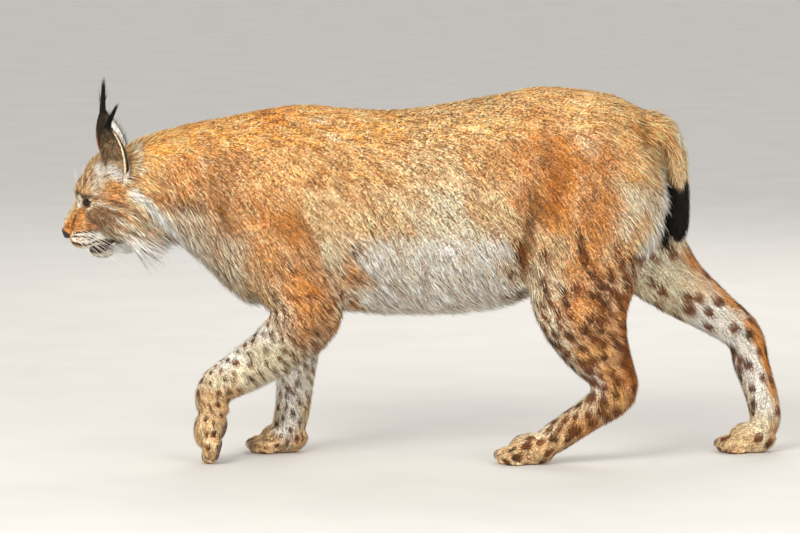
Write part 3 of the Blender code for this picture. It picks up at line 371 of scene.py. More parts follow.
# Marks of the face, among them painted shadow and a painted highlight, as paths seen
# from the side in metres, with their half width, how strong they are, and their colour
Mark = namedtuple("Mark", "path half strength colour")
FACE_MARKS = table(
    Mark,
    ([(-0.542, 0.485), (-0.522, 0.480), (-0.502, 0.470)], 0.0100, 0.85, WHITE),
    ([(-0.525, 0.453), (-0.502, 0.448)], 0.0100, 0.65, SAND),
    ([(-0.573, 0.468), (-0.577, 0.452)], 0.0025, 0.85, UMBER),
    ([(-0.563, 0.473), (-0.565, 0.452)], 0.0025, 0.85, UMBER),
    ([(-0.552, 0.477), (-0.553, 0.453)], 0.0022, 0.75, UMBER),
    ([(-0.572, 0.449), (-0.555, 0.448)], 0.0040, 0.6, SAND),
    # The next two marks are painted shadow of the brow: a black line over the eye, running on in
    # umber behind it
    ([(-0.552, 0.436), (-0.532, 0.434), (-0.518, 0.430), (-0.505, 0.422)], 0.0025, 0.85, UMBER),
    ([(-0.578, 0.443), (-0.567, 0.438), (-0.552, 0.436)], 0.0037, 1.0, BLACK),
    ([(-0.5715, 0.434), (-0.572, 0.422)], 0.0052, 1.0, WHITE),
    ([(-0.543, 0.427), (-0.552, 0.417), (-0.562, 0.412)], 0.0027, 0.8, CREAM),
    ([(-0.555, 0.408), (-0.532, 0.417), (-0.518, 0.408), (-0.533, 0.395), (-0.552, 0.397)],
     0.0067, 0.75, UMBER),
    ([(-0.543, 0.426), (-0.528, 0.424), (-0.515, 0.416)], 0.0030, 0.8, PALE),
    ([(-0.508, 0.413), (-0.478, 0.400), (-0.455, 0.382)], 0.0053, 0.7, BROWN),
    ([(-0.488, 0.445), (-0.467, 0.433), (-0.445, 0.417)], 0.0090, 0.9, WHITE),
    ([(-0.512, 0.403), (-0.482, 0.390), (-0.455, 0.377)], 0.0027, 0.8, PALE),
    ([(-0.442, 0.408), (-0.428, 0.385), (-0.418, 0.362)], 0.0100, 0.9, WHITE),
    ([(-0.512, 0.355), (-0.480, 0.348), (-0.445, 0.337)], 0.0167, 1.0, WHITE),
    ([(-0.517, 0.428), (-0.490, 0.420), (-0.462, 0.407), (-0.442, 0.388), (-0.428, 0.365)],
     0.0043, 0.85, UMBER),
    ([(-0.522, 0.395), (-0.498, 0.387), (-0.475, 0.378), (-0.452, 0.372), (-0.430, 0.365)],
     0.0037, 0.85, UMBER),
    ([(-0.568, 0.410), (-0.578, 0.398), (-0.585, 0.388)], 0.0075, 0.8, BROWN),
    # Painted highlight along the front edge of the bridge of the nose
    ([(-0.587, 0.418), (-0.595, 0.403), (-0.602, 0.390)], 0.0043, 0.85, CREAM),
    ([(-0.578, 0.405), (-0.583, 0.390), (-0.583, 0.382)], 0.0022, 0.85, DUSK),
    ([(-0.577, 0.370), (-0.558, 0.367), (-0.535, 0.372)], 0.0085, 0.75, WHITE),
    ([(-0.578, 0.385), (-0.558, 0.386), (-0.543, 0.389)], 0.0072, 0.8, BROWN),
    ([(-0.580, 0.3770), (-0.565, 0.3785), (-0.550, 0.3800)], 0.0021, 0.95, DUSK),
    ([(-0.583, 0.3710), (-0.565, 0.3705), (-0.548, 0.3680)], 0.0021, 0.95, DUSK),
    ([(-0.555, 0.350), (-0.542, 0.349), (-0.528, 0.356), (-0.517, 0.365)], 0.0073, 1, BLACK),
    ([(-0.535, 0.338), (-0.517, 0.335)], 0.0058, 0.9, PALE),
    ([(-0.584, 0.361), (-0.572, 0.357), (-0.558, 0.356), (-0.542, 0.362), (-0.513, 0.368)],
     0.0033, 1, BLACK),
    ([(-0.498, 0.503), (-0.495, 0.482), (-0.490, 0.468)], 0.0027, 0.9, BLACK),
    ([(-0.532, 0.512), (-0.518, 0.498)], 0.0067, 0.8, SOOT),
    ([(-0.487, 0.518), (-0.478, 0.502), (-0.477, 0.483)], 0.0075, 0.85, SILVER),
)
BODY_MARKS = table(
    Mark,
    # Painted shadow in the fold at the side of the neck
    ([(-0.425, 0.437), (-0.402, 0.427), (-0.378, 0.425), (-0.365, 0.420)], 0.0067, 0.8, UMBER),
    ([(-0.347, 0.465), (-0.335, 0.423), (-0.325, 0.385)], 0.0183, 0.45, UMBER),
    ([(0.215, 0.520), (0.220, 0.470), (0.214, 0.405)], 0.0280, 0.75, RUST),
    ([(0.211, 0.505), (0.216, 0.465), (0.210, 0.425)], 0.0170, 0.85, CHESTNUT),
    # The next two marks are painted shade along the crease between hip and flank
    ([(0.203, 0.560), (0.196, 0.500)], 0.0100, 0.55, UMBER),
    ([(0.180, 0.440), (0.170, 0.385), (0.158, 0.310)], 0.0095, 0.9, UMBER),
    ([(0.253, 0.535), (0.282, 0.515)], 0.0100, 0.4, CREAM),
    ([(0.295, 0.432), (0.288, 0.365)], 0.0150, 0.5, RUST),
    ([(0.262, 0.465), (0.258, 0.407)], 0.0100, 0.45, BROWN),
    ([(0.348, 0.552), (0.362, 0.540)], 0.0083, 0.6, RUST),
    ([(-0.268, 0.578), (-0.247, 0.565)], 0.0150, 0.7, RUST),
    ([(-0.175, 0.568), (-0.168, 0.565)], 0.0083, 0.7, CREAM),
    ([(-0.155, 0.540), (-0.145, 0.532)], 0.0067, 0.7, CREAM),
    ([(-0.205, 0.273), (-0.163, 0.265)], 0.0200, 0.6, RUST),
    ([(-0.222, 0.398), (-0.197, 0.348), (-0.185, 0.298)], 0.0267, 0.75, FAWN),
    ([(0.362, 0.407), (0.337, 0.357), (0.312, 0.323)], 0.0117, 0.6, AMBER),
    ([(0.402, 0.465), (0.395, 0.415), (0.378, 0.373), (0.358, 0.328)], 0.0067, 0.9, WHITE),
    ([(0.332, 0.265), (0.338, 0.198), (0.342, 0.140)], 0.0183, 0.8, CHESTNUT),
    ([(0.348, 0.140), (0.362, 0.118)], 0.0133, 0.8, RUST),
    ([(0.203, 0.232), (0.228, 0.182), (0.270, 0.123)], 0.0150, 0.7, CREAM),
    ([(0.548, 0.228), (0.570, 0.190), (0.582, 0.157)], 0.0133, 0.85, AMBER),
)

# Regions of the coat, each a piece of its own, with the axis that its map turns round
REGION_AXES = {
    "head": ((-0.60, 0, 0.40), (-0.44, 0, 0.43)),
    "neck": ((-0.47, 0, 0.45), (-0.36, 0, 0.45)),
    "shoulder_left": ((-0.38, -0.03, 0.43), (-0.12, -0.03, 0.43)),
    "shoulder_right": ((-0.38, 0.03, 0.43), (-0.12, 0.03, 0.43)),
    "flank_left": ((-0.14, -0.02, 0.43), (0.17, -0.02, 0.43)),
    "flank_right": ((-0.14, 0.02, 0.43), (0.17, 0.02, 0.43)),
    "haunch_left": ((0.26, -0.05, 0.64), (0.27, -0.06, 0.22)),
    "haunch_right": ((0.26, 0.05, 0.64), (0.33, 0.06, 0.22)),
    "foreleg_left": ((-0.190, -0.072, 0.25), (-0.37, -0.067, 0.05)),
    "foreleg_right": ((-0.205, 0.072, 0.25), (-0.235, 0.066, -0.01)),
    "hind_leg_left": ((0.280, -0.075, 0.24), (0.24, -0.072, -0.01)),
    "hind_leg_right": ((0.420, 0.072, 0.35), (0.58, 0.066, -0.01)),
    "tail": ((0.405, 0, 0.59), (0.424, 0, 0.35)),
    "face": ((-0.60, 0, 0.40), (-0.44, 0, 0.43)),
}
REGIONS = list(REGION_AXES)
FACE_END = -0.528  # the face's short coat ends here, in the head's own frame
TAIL_SPACING = 0.0019
TUFT_SPACING = 0.0006


class LynxCoat(bpy.types.PropertyGroup):
    """Sizes of the coat that a user would change."""

    body_spacing: FloatProperty(
        name="Body spacing", description="Distance between the roots on the body",
        default=0.0023, min=0.001, unit="LENGTH",
    )
    leg_spacing: FloatProperty(
        name="Leg spacing", description="Distance between the roots on legs and tail",
        default=0.00155, min=0.001, unit="LENGTH",
    )
    head_spacing: FloatProperty(
        name="Head spacing", description="Distance between the roots on the head",
        default=0.00145, min=0.0005, unit="LENGTH",
    )
    face_spacing: FloatProperty(
        name="Face spacing", description="Distance between the roots on the face",
        default=0.00086, min=0.0005, unit="LENGTH",
    )
    ear_spacing: FloatProperty(
        name="Ear spacing", description="Distance between the roots on the ears",
        default=0.0014, min=0.0005, unit="LENGTH",
    )
    length: FloatProperty(
        name="Length", description="Length of all hairs against their own length",
        default=1.0, min=0.2, max=2.0,
    )
    width: FloatProperty(
        name="Width", description="Width of all hairs against their own width",
        default=1.0, min=0.2, max=3.0,
    )
    spot_colour: FloatVectorProperty(
        name="Spots", description="Colour of the spots", subtype="COLOR", default=DUSK,
    )
    cream_colour: FloatVectorProperty(
        name="Cream", description="Colour of the cream hairs", subtype="COLOR",
        default=(0.95, 0.76, 0.50),
    )
    seed: IntProperty(name="Seed", description="Seed of the hairs' places", default=3)


class LynxFeatures(bpy.types.PropertyGroup):
    """Colours and sizes of eyes, nose and whiskers."""

    # The iris is darker than a lynx's amber: it carries painted shade of the brow
    iris_colour: FloatVectorProperty(
        name="Iris", description="Colour of the iris", subtype="COLOR",
        default=(0.11, 0.055, 0.010),
    )
    nose_colour: FloatVectorProperty(
        name="Nose", description="Colour of the nose leather", subtype="COLOR",
        default=(0.24, 0.095, 0.060),
    )
    whisker_length: FloatProperty(
        name="Whiskers", description="Length of the longest whisker",
        default=0.085, min=0.01, unit="LENGTH",
    )


class LynxStage(bpy.types.PropertyGroup):
    """Floor and light."""

    floor_colour: FloatVectorProperty(
        name="Floor", description="Colour of the floor", subtype="COLOR",
        default=(0.66, 0.65, 0.635),
    )
    light: FloatProperty(
        name="Light", description="Strength of the soft lamps", default=1.0, min=0.0,
    )


def smoothed(rows, count):
    """Rows of numbers along a smooth curve through the given rows."""
    knots = np.array(rows, float)
    before = 2 * knots[0] - knots[1]
    after = 2 * knots[-1] - knots[-2]
    padded = np.vstack([before, knots, after])
    result = []
    for u in np.linspace(0, len(knots) - 1, count):
        i = min(int(u), len(knots) - 2)
        t = u - i
        a, b, c, d = padded[i : i + 4]
        bend = (2 * a - 5 * b + 4 * c - d) * t * t
        twist = (3 * b - a - 3 * c + d) * t**3
        result.append(0.5 * (2 * b + (c - a) * t + bend + twist))
    return result


def loft(bm, rings, closed=False):
    """Adds a skin through rings of points, capped at both ends or closed to a ring."""
    loops = [[bm.verts.new(point) for point in ring] for ring in rings]
    for low, high in zip(loops, loops[1:] + loops[: int(closed)]):
        for i in range(len(low)):
            j = (i + 1) % len(low)
            bm.faces.new((low[i], low[j], high[j], high[i]))
    if not closed:
        bm.faces.new(list(reversed(loops[0])))
        bm.faces.new(loops[-1])


def add_trunk(bm):
    """Adds the trunk, pear shaped across, a little wider below than above."""
    rings = []
    for x, top, bottom, half_width in smoothed(TRUNK, TRUNK_RINGS):
        middle = bottom + TRUNK_MIDDLE * (top - bottom)
        ring = []
        for i in range(TRUNK_SIDES):
            turn = 2 * math.pi * i / TRUNK_SIDES
            up = math.cos(turn)
            out = math.sin(turn) * (1 - TRUNK_PEAR * up)
            reach = top - middle if up > 0 else middle - bottom
            ring.append(Vector((x, half_width * out, middle + reach * up)))
        rings.append(ring)
    loft(bm, rings)


def add_limb(bm, joints, count=30, sides=24):
    """Adds a limb, tail or bridge whose rings stand across its path."""
    rows = smoothed(joints, count)
    rings = []
    for i, (x, y, z, deep, wide) in enumerate(rows):
        after = Vector(rows[min(i + 1, count - 1)][:3])
        before = Vector(rows[max(i - 1, 0)][:3])
        across = Vector((0, 1, 0)).cross(after - before).normalized()
        ring = []
        for k in range(sides):
            turn = 2 * math.pi * k / sides
            side = Vector((0, wide * math.sin(turn), 0))
            ring.append(Vector((x, y, z)) + across * deep * math.cos(turn) + side)
        rings.append(ring)
    loft(bm, rings)


def add_tube(bm, path, radii, sides, closed=False):
    """Adds a tube along a path, with a radius for each of its points."""
    count = len(path)
    rings = []
    aside = None
    for i, (point, radius) in enumerate(zip(path, radii)):
        before = path[i - 1] if i or closed else point
        after = path[(i + 1) % count] if closed or i < count - 1 else point
        along = (after - before).normalized()
        aside = aside or along.orthogonal()
        aside = (aside - aside.dot(along) * along).normalized()
        other = along.cross(aside)
        turns = [2 * math.pi * k / sides for k in range(sides)]
        rings.append([point + radius * (math.cos(a) * aside + math.sin(a) * other) for a in turns])
    loft(bm, rings, closed)


def add_lump(bm, lump, place_in=Matrix.Identity(4), side=1, detail=4):
    """Adds an ellipsoid in the given frame; side -1 mirrors it to the left."""
    tilt = Matrix.Rotation(math.radians(lump.tilt), 4, "Y")
    size = Matrix.Diagonal((lump.long, lump.wide, lump.tall, 1))
    place = Matrix.Translation((lump.x, side * lump.y, lump.z))
    matrix = place_in @ place @ tilt @ size
    bmesh.ops.create_icosphere(bm, subdivisions=detail, radius=1, matrix=matrix)


def paw_frame(x, y, z, pitch):
    """The place of a paw, with its toes pitched down by that many degrees."""
    turn = Matrix.Rotation(math.radians(pitch), 4, "Y")
    return Matrix.Translation((x, y, z)) @ turn


def add_paw(bm, place):
    """Adds the pad and the four toes of a paw."""
    add_lump(bm, PAW_PAD, place)
    for forward, sideways in TOE_OFFSETS:
        long, wide, tall = TOE_SIZE
        toe = Lump(forward, sideways, tall - SINK, long, wide, tall, 0)
        add_lump(bm, toe, place)


def head_turn():
    """The turn of the head: its right side a little up, its nose a little to the left."""
    turn = Matrix.Rotation(HEAD_YAW, 4, "Z") @ Matrix.Rotation(HEAD_ROLL, 4, "X")
    return Matrix.Translation(HEAD_PIVOT) @ turn @ Matrix.Translation(-HEAD_PIVOT)


def add_skull(bm):
    """Adds the large lumps of the head."""
    roll = head_turn()
    for lump in (SKULL, BROW, NAPE, THROAT, MUZZLE, JAW):
        add_lump(bm, lump, roll)
    for lump in (CHEEK, TEMPLE, RUFF_CORE):
        for side in (-1, 1):
            add_lump(bm, lump, roll, side)


def add_face(bm):
    """Adds chin, whisker pads, lids, brows, ear bases and the bridge of the nose."""
    roll = head_turn()
    add_lump(bm, CHIN, roll)
    lids = EYE_RADIUS + LID_THICKNESS
    for side in (-1, 1):
        for lump in (WHISKER_PAD, MUZZLE_SIDE, BROW_RIDGE, CHEEKBONE, EAR_BASE,
                     Lump(*EYE_PLACE, lids, lids, lids, 0)):
            add_lump(bm, lump, roll, side)
    bridge = bmesh.new()
    add_limb(bridge, NOSE_BRIDGE, 16)
    bridge.transform(roll)
    mesh = take_mesh(bridge, "bridge")
    bm.from_mesh(mesh)
    bpy.data.meshes.remove(mesh)


def take_mesh(bm, name):
    """Turns a bmesh into a named mesh."""
    mesh = bpy.data.meshes.new(name)
    bm.to_mesh(mesh)
    bm.free()
    return mesh


def link_object(name, data):
    """Puts a mesh, a lamp or a camera into the scene."""
    obj = bpy.data.objects.new(name, data)
    bpy.context.scene.collection.objects.link(obj)
    return obj


def mesh_object(name, bm):
    """Turns a bmesh into a named object, its faces pointing out."""
    bmesh.ops.recalc_face_normals(bm, faces=bm.faces)
    if bm.calc_volume(signed=True) < 0:
        bmesh.ops.reverse_faces(bm, faces=bm.faces)
    return link_object(name, take_mesh(bm, name))


def apply_modifiers(obj):
    """Makes the evaluated mesh the object's own mesh."""
    graph = bpy.context.evaluated_depsgraph_get()
    graph.update()
    mesh = bpy.data.meshes.new_from_object(obj.evaluated_get(graph))
    obj.modifiers.clear()
    old = obj.data
    obj.data = mesh
    bpy.data.meshes.remove(old)


def modify(obj, *steps):
    """Adds modifiers, each as its kind and settings, and applies them."""
    for kind, settings in steps:
        modifier = obj.modifiers.new(kind.title(), kind)
        for name, value in settings.items():
            setattr(modifier, name, value)
    apply_modifiers(obj)


def fuse_clay(obj, voxel, steps):
    """Fuses overlapping lumps into one skin, smoothed by that many steps."""
    modify(obj, ("REMESH", {"mode": "VOXEL", "voxel_size": voxel}),
           ("SMOOTH", {"factor": 0.5, "iterations": steps}))


def cut_out(obj, other):
    """Cuts a closed mesh object out of another one, and removes it."""
    modify(obj, ("BOOLEAN", {"operation": "DIFFERENCE", "object": other, "solver": "MANIFOLD"}))
    bpy.data.objects.remove(other)


def surface_tree(obj):
    """A tree for finding points on the object's surface."""
    bm = bmesh.new()
    bm.from_mesh(obj.data)
    tree = BVHTree.FromBMesh(bm)
    bm.free()
    return tree


def point_tree(points):
    """A tree for finding the nearest of many points."""
    tree = KDTree(len(points))
    for i, point in enumerate(points):
        tree.insert(point, i)
    tree.balance()
    return tree


def read_rows(items, key="vector"):
    """What each vertex, face or value of an attribute has under a key, one row each."""
    flat = np.empty(len(items) * 3, np.float32)
    items.foreach_get(key, flat)
    return flat.reshape(-1, 3).astype(float)


def positions(mesh):
    """The places of a mesh's vertices, one row each."""
    return read_rows(mesh.vertices, "co")


def moved(matrix, points):
    """Rows of points moved by a matrix."""
    return (np.array(matrix.to_3x3()) @ points.T).T + np.array(matrix.translation)


def distance(points, spot):
    """How far each point is from one spot."""
    return np.linalg.norm(points - np.array(spot), axis=1)


def unit(rows):
    """Each row at length one."""
    return rows / np.maximum(np.linalg.norm(rows, axis=1, keepdims=True), 1e-9)


def along_skin(lie, away):
    """Directions laid flat on the skin."""
    return unit(lie - (lie * away).sum(1, keepdims=True) * away)


def tinted(colours, share, colour):
    """Rows of colours, each drawn towards another colour by its share."""
    return colours + share[:, None] * (np.array(colour) - colours)


def store(mesh, name, values, domain="POINT"):
    """Stores rows, whole numbers or numbers as a named attribute of the mesh."""
    values = np.asarray(values)
    whole = values.dtype.kind == "i"
    kind = "FLOAT_VECTOR" if values.ndim == 2 else "INT" if whole else "FLOAT"
    attribute = mesh.attributes.new(name, kind, domain)
    flat = values.astype(np.int32 if whole else np.float32).ravel()
    attribute.data.foreach_set("vector" if values.ndim == 2 else "value", flat)


def fade(value, low, high):
    """0 below low, 1 above high, and smooth between them."""
    t = np.clip((value - low) / (high - low), 0, 1)
    return t * t * (3 - 2 * t)


def path_distance(points, path):
    """How far each point is from a path of straight runs."""
    nearest = np.full(len(points), 1e9)
    path = np.asarray(path, float)
    for a, b in zip(path, path[1:]):
        run = b - a
        t = np.clip((points - a) @ run / max(run @ run, 1e-12), 0, 1)
        gap = np.linalg.norm(points - (a + t[:, None] * run), axis=1)
        nearest = np.minimum(nearest, gap)
    return nearest


def guide(place, lie, hair, lift, colour, fleck, cream, spot=0):
    """One row of the guide table: the place, and what the coat does there."""
    hair = hair / 1000
    lift = math.radians(lift)
    inset = min(0.85 * hair * math.sin(lift), INSET_MOST)
    wide = HAIR_WIDTH + HAIR_WIDENING * min(hair, LONG_HAIR)
    return [*place, *Vector(lie).normalized(), hair, lift, *colour, fleck, cream, spot, inset, wide]


def mirrored(place, side):
    """A place or a direction of the right side, on the side asked for."""
    return Vector((place[0], side * place[1], place[2]))


def trunk_guides():
    """Guides along the trunk, on both sides."""
    sections = np.array(TRUNK)
    rows = []
    for station in TRUNK_STATIONS:
        top, bottom, half = (
            np.interp(station.x, sections[:, 0], sections[:, k]) for k in (1, 2, 3)
        )
        middle = bottom + TRUNK_MIDDLE * (top - bottom)
        for level, colour in zip(TRUNK_LEVELS, station.colours):
            reach = top - middle if level.up > 0 else middle - bottom
            out = half * math.sqrt(max(0, 1 - level.up**2)) * (1 - TRUNK_PEAR * level.up)
            slope = math.radians(level.lie)
            for side in (-1, 1):
                place = (station.x, side * out, middle + reach * level.up)
                lie = (math.cos(slope), 0, -math.sin(slope))
                rows.append(guide(place, lie, level.hair * station.long, level.lift, colour,
                                  station.fleck, station.cream))
    return rows


def limb_guides(joints, coats, side, sweep=(0, 0, 0)):
    """Guides before, behind, outside and inside each joint of a limb.

    The hair runs down the limb, swept aside from it except at the foot.
    """
    rows = []
    last = len(joints) - 1
    for coat in coats:
        i = coat.joint
        place = Vector(joints[i][:3])
        down = (Vector(joints[min(i + 1, last)][:3]) - Vector(joints[i - 1][:3])).normalized()
        across = Vector((0, 1, 0)).cross(down).normalized()
        out = Vector((0, side * joints[i].wide, 0))
        lie = down - 0.22 * across + Vector(sweep) * min(1, (last - i) / 2)
        for offset, colour in (
            (across * joints[i].deep, coat.front), (-across * joints[i].deep, coat.rear),
            (out, coat.outer), (-out, coat.inner),
        ):
            rows.append(guide(place + offset, lie, coat.hair, coat.lift, colour, *coat[-3:]))
    return rows


def tail_end_guides():
    """Guides round the black end of the tail."""
    rows = []
    for joint, after in zip(TAIL[3:], TAIL[4:]):
        lie = (after.x - joint.x, 0, after.z - joint.z)
        for x, y in ((-joint.deep, 0), (joint.deep, 0), (0, joint.wide), (0, -joint.wide)):
            rows.append(guide((joint.x + x, y, joint.z), lie, 15, 16, OAT, 0.3, 0.3))
    return rows


def paw_guides(place):
    """Guides on top and round the edge of a paw."""
    lie = place.to_3x3() @ Vector((-1, 0, -0.25))
    return [guide(place @ Vector(spot), lie, *PAW_COAT) for spot in PAW_SPOTS]


def all_guides():
    """The whole guide table, in rows."""
    rows = trunk_guides()
    turn = head_turn()
    for coat in HEAD_COAT:
        for side in (-1, 1):
            lie = turn.to_3x3() @ mirrored(coat.lie, side)
            rows.append(guide(turn @ mirrored(coat, side), lie, *coat[4:]))
    for joints, coats, side, sweep in (
        (HIND_LEFT, HIND_COAT, -1, (0.6, 0, 0)), (HIND_RIGHT, HIND_COAT, 1, (0, 0, -0.5)),
        (FORE_LEFT, FORE_COAT, -1, (1.6, 0, -0.5)), (FORE_RIGHT, FORE_COAT, 1, (0.6, 0, 0)),
        (TAIL, TAIL_COAT, 1, (0, 0, 0)),
    ):
        rows += limb_guides(joints, coats, side, sweep)
    rows += tail_end_guides()
    for place in PAW_PLACES.values():
        rows += paw_guides(paw_frame(*place))
    for place, lie, hair, lift, colour in FRINGE:
        for side in (-1, 1):
            rows.append(guide(mirrored(place, side), lie, hair, lift, colour, 0.3, 0.6))
    return rows


def blend_guides(points, rows, power=3.8):
    """The guides' values at each point, weighted by nearness."""
    rows = np.array(rows, float)
    result = np.empty((len(points), rows.shape[1] - 3))
    for start in range(0, len(points), 20000):
        block = points[start : start + 20000]
        gap = ((block[:, None, :] - rows[None, :, :3]) ** 2).sum(2)
        weight = 1 / (gap + 4e-6) ** (power / 2)
        weight /= weight.sum(1, keepdims=True)
        result[start : start + 20000] = weight @ rows[:, 3:]
    return result


def seen_on(tree, x, z):
    """The point on the left of the skin that the photo's view shows at (x, z)."""
    tilt = math.radians(VIEW_ELEVATION)
    look = Vector((0, math.cos(tilt), -math.sin(tilt)))
    start = Vector((x, 0, z)) - look * 0.4
    hit = tree.ray_cast(start, look)[0]
    if hit is None:
        hit = tree.find_nearest(Vector((x, 0, z)))[0]
    return hit


def paint_marks(points, colours, tree, marks, turn, here):
    """Lays marks over the colours of the chosen points, on both sides alike."""
    back = turn.inverted()
    chosen = np.nonzero(here)[0]
    local = moved(back, points[chosen])
    local[:, 1] = np.abs(local[:, 1])
    strengths = np.zeros(len(points))
    for mark in marks:
        path = []
        steps = np.linspace(0, len(mark.path) - 1, 4 * len(mark.path) - 3)
        for x, z in np.column_stack([np.interp(steps, range(len(mark.path)), axis)
                                     for axis in zip(*mark.path)]):
            spot = back @ seen_on(tree, x, z)
            path.append((spot.x, abs(spot.y), spot.z))
        reach = 1.4 * mark.half
        low, high = np.min(path, axis=0) - reach, np.max(path, axis=0) + reach
        close = ((local > low) & (local < high)).all(1)
        gap = path_distance(local[close], path)
        share = mark.strength * (1 - fade(gap, 0.6 * mark.half, 1.35 * mark.half))
        rows = chosen[close]
        colours[rows] = tinted(colours[rows], share, mark.colour)
        strengths[rows] = np.maximum(strengths[rows], share)
    return strengths


def scatter_spots(points, away, lie, weight):
    """The ink of dark spots strewn over the legs, longer along the hair than across it."""
    dice = np.random.default_rng(SPOT_SEED)
    tree = point_tree(points)
    across = np.cross(away, lie)
    ink = np.zeros(len(points))
    taken = np.zeros(len(points), bool)
    for i in dice.permutation(np.nonzero(weight > 0.12)[0]):
        if taken[i]:
            continue
        behind = points[i, 0] > 0
        pitch = (HIND_SPOT_PITCH if behind else FORE_SPOT_PITCH) * dice.uniform(0.85, 1.2)
        keep = dice.random() < 1.3 * weight[i]
        long = pitch * (dice.uniform(0.42, 0.60) if behind else dice.uniform(0.30, 0.42))
        wide = long * dice.uniform(0.70, 1.0)
        for _, k, gap in tree.find_range(points[i], pitch):
            taken[k] = True
            if keep:
                step = points[k] - points[i]
                reach = math.hypot(step @ lie[i] / long, step @ across[i] / wide)
                ink[k] = max(ink[k], 1 - 0.5 * reach)
    return ink


def region_of(points):
    """The number of the region that each point belongs to."""
    x, y, z = points.T
    left = y < 0
    pick = np.where(x < -0.135, np.where(left, 2, 3), np.where(x < 0.165, np.where(left, 4, 5),
                    np.where(left, 6, 7)))
    pick = np.where((x < -0.37), 1, pick)
    normal = np.array(HEAD_CUT[1])
    ahead = (points - np.array(HEAD_CUT[0])) @ normal < 0
    pick = np.where(ahead, 0, pick)
    pick = np.where((x < 0) & (z < 0.240), np.where(left, 8, 9), pick)
    hip = (x > 0) & (z < 0.235) | (x > 0.40) & (z < 0.34)
    pick = np.where(hip, np.where(left, 10, 11), pick)
    pick = np.where((x > 0.394) & (z > 0.355) & (np.abs(y) < 0.036), 12, pick)
    back = head_turn().inverted()
    own_x = points @ np.array(back.to_3x3()[0]) + back.translation.x
    return np.where(ahead & (own_x < FACE_END), 13, pick)


def chart_of(points, regions):
    """For each point how far along its region's axis it is, and its way round it."""
    chart = np.zeros((len(points), 3))
    for index, name in enumerate(REGIONS):
        here = regions == index
        start, end = (np.array(spot, float) for spot in REGION_AXES[name])
        run = end - start
        length = np.linalg.norm(run)
        axis = run / length
        aside = np.cross(axis, (0, 1, 0))
        aside /= np.linalg.norm(aside)
        other = np.cross(axis, aside)
        offset = points[here] - start
        chart[here, 0] = np.clip(offset @ axis / length, 0.01, 0.99)
        chart[here, 1] = offset @ aside
        chart[here, 2] = offset @ other
    return chart


def refine_face(obj):
    """Divides the face's mesh once, so that lids, lips and nose have enough points."""
    turn = head_turn().inverted()
    bm = bmesh.new()
    bm.from_mesh(obj.data)
    edges = []
    for edge in bm.edges:
        a, b = (turn @ vertex.co for vertex in edge.verts)
        if max(a.x, b.x) < -0.515 and min(a.z, b.z) < 0.475:
            edges.append(edge)
    bmesh.ops.subdivide_edges(bm, edges=edges, cuts=1, use_grid_fill=True, smooth=0.6)
    bmesh.ops.triangulate(bm, faces=bm.faces)
    bm.to_mesh(obj.data)
    bm.free()


def thin_body(obj, triangles):
    """Thins the mesh behind the head to about that many triangles in all."""
    group = obj.vertex_groups.new(name="body")
    behind = np.nonzero(positions(obj.data)[:, 0] > BODY_START)[0]
    group.add(behind.tolist(), 1.0, "REPLACE")
    ratio = min(1.0, triangles / len(obj.data.polygons))
    modify(obj, ("DECIMATE", {"ratio": ratio, "vertex_group": "body", "vertex_group_factor": 5}))
    obj.vertex_groups.clear()


def eye_frame(side):
    """The place of an eye: its -X looks out, its Z is up."""
    look = Matrix.Rotation(math.radians(-side * EYE_TURN), 4, "Z")
    return head_turn() @ Matrix.Translation(mirrored(EYE_PLACE, side)) @ look


def lid_narrowing(across):
    """How much of its height the opening of the lids keeps, that far towards a corner."""
    return 1 - LID_TAPER * abs(across) ** 1.5


def lid_slant(side):
    """The slant of the opening between the lids."""
    return Matrix.Rotation(math.radians(side * LID_SLANT), 4, "X")


def lid_curve(side, count, radius):
    """Points round the almond opening between the lids, that far from the eye's middle."""
    points = []
    for k in range(count):
        turn = 2 * math.pi * k / count
        across = math.cos(turn)
        narrow = lid_narrowing(across)
        y, z = across * LID_LENGTH / 2, math.sin(turn) * narrow * LID_HEIGHT / 2
        ahead = math.sqrt(max(0, radius**2 - y * y - z * z))
        points.append(eye_frame(side) @ lid_slant(side) @ Vector((-ahead, y, z)))
    return points


def open_eyes(obj):
    """Sinks both sockets into the skin and opens the lids in front of them."""
    for side in (-1, 1):
        bm = bmesh.new()
        bmesh.ops.create_icosphere(bm, subdivisions=4, radius=EYE_RADIUS + 0.0003)
        bm.transform(Matrix.Translation(eye_frame(side).translation))
        cut_out(obj, mesh_object("socket", bm))
        bm = bmesh.new()
        bmesh.ops.create_icosphere(bm, subdivisions=4, radius=1)
        bm.transform(Matrix.Diagonal((LID_DEPTH, LID_LENGTH / 2, LID_HEIGHT / 2, 1)))
        for vertex in bm.verts:
            vertex.co.z *= lid_narrowing(vertex.co.y / (LID_LENGTH / 2))
        ahead = Matrix.Translation((-EYE_RADIUS, 0, 0))
        bm.transform(eye_frame(side) @ ahead @ lid_slant(side))
        cut_out(obj, mesh_object("lids", bm))


def mouth_points(tree):
    """The mouth's line over the face, from corner to corner."""
    roll = head_turn()
    inwards = roll.to_3x3() @ Vector((0, 1, 0))
    points = []
    for side, run in ((-1, MOUTH_LINE), (1, MOUTH_LINE[::-1])):
        for x, z in run:
            start = roll @ Vector((x, side * FAR_OUT, z))
            points.append(tree.ray_cast(start, -side * inwards)[0])
    middle = roll @ Vector((-FAR_AHEAD, 0, MOUTH_FRONT_HEIGHT))
    points.insert(len(MOUTH_LINE), tree.ray_cast(middle, Vector((1, 0, 0)))[0])
    return np.array([tuple(point) for point in points])


def feed(tree, socket, value):
    """Links an output to a socket, or sets its value."""
    if isinstance(value, bpy.types.NodeSocket):
        tree.links.new(value, socket)
    elif value is not None:
        socket.default_value = value


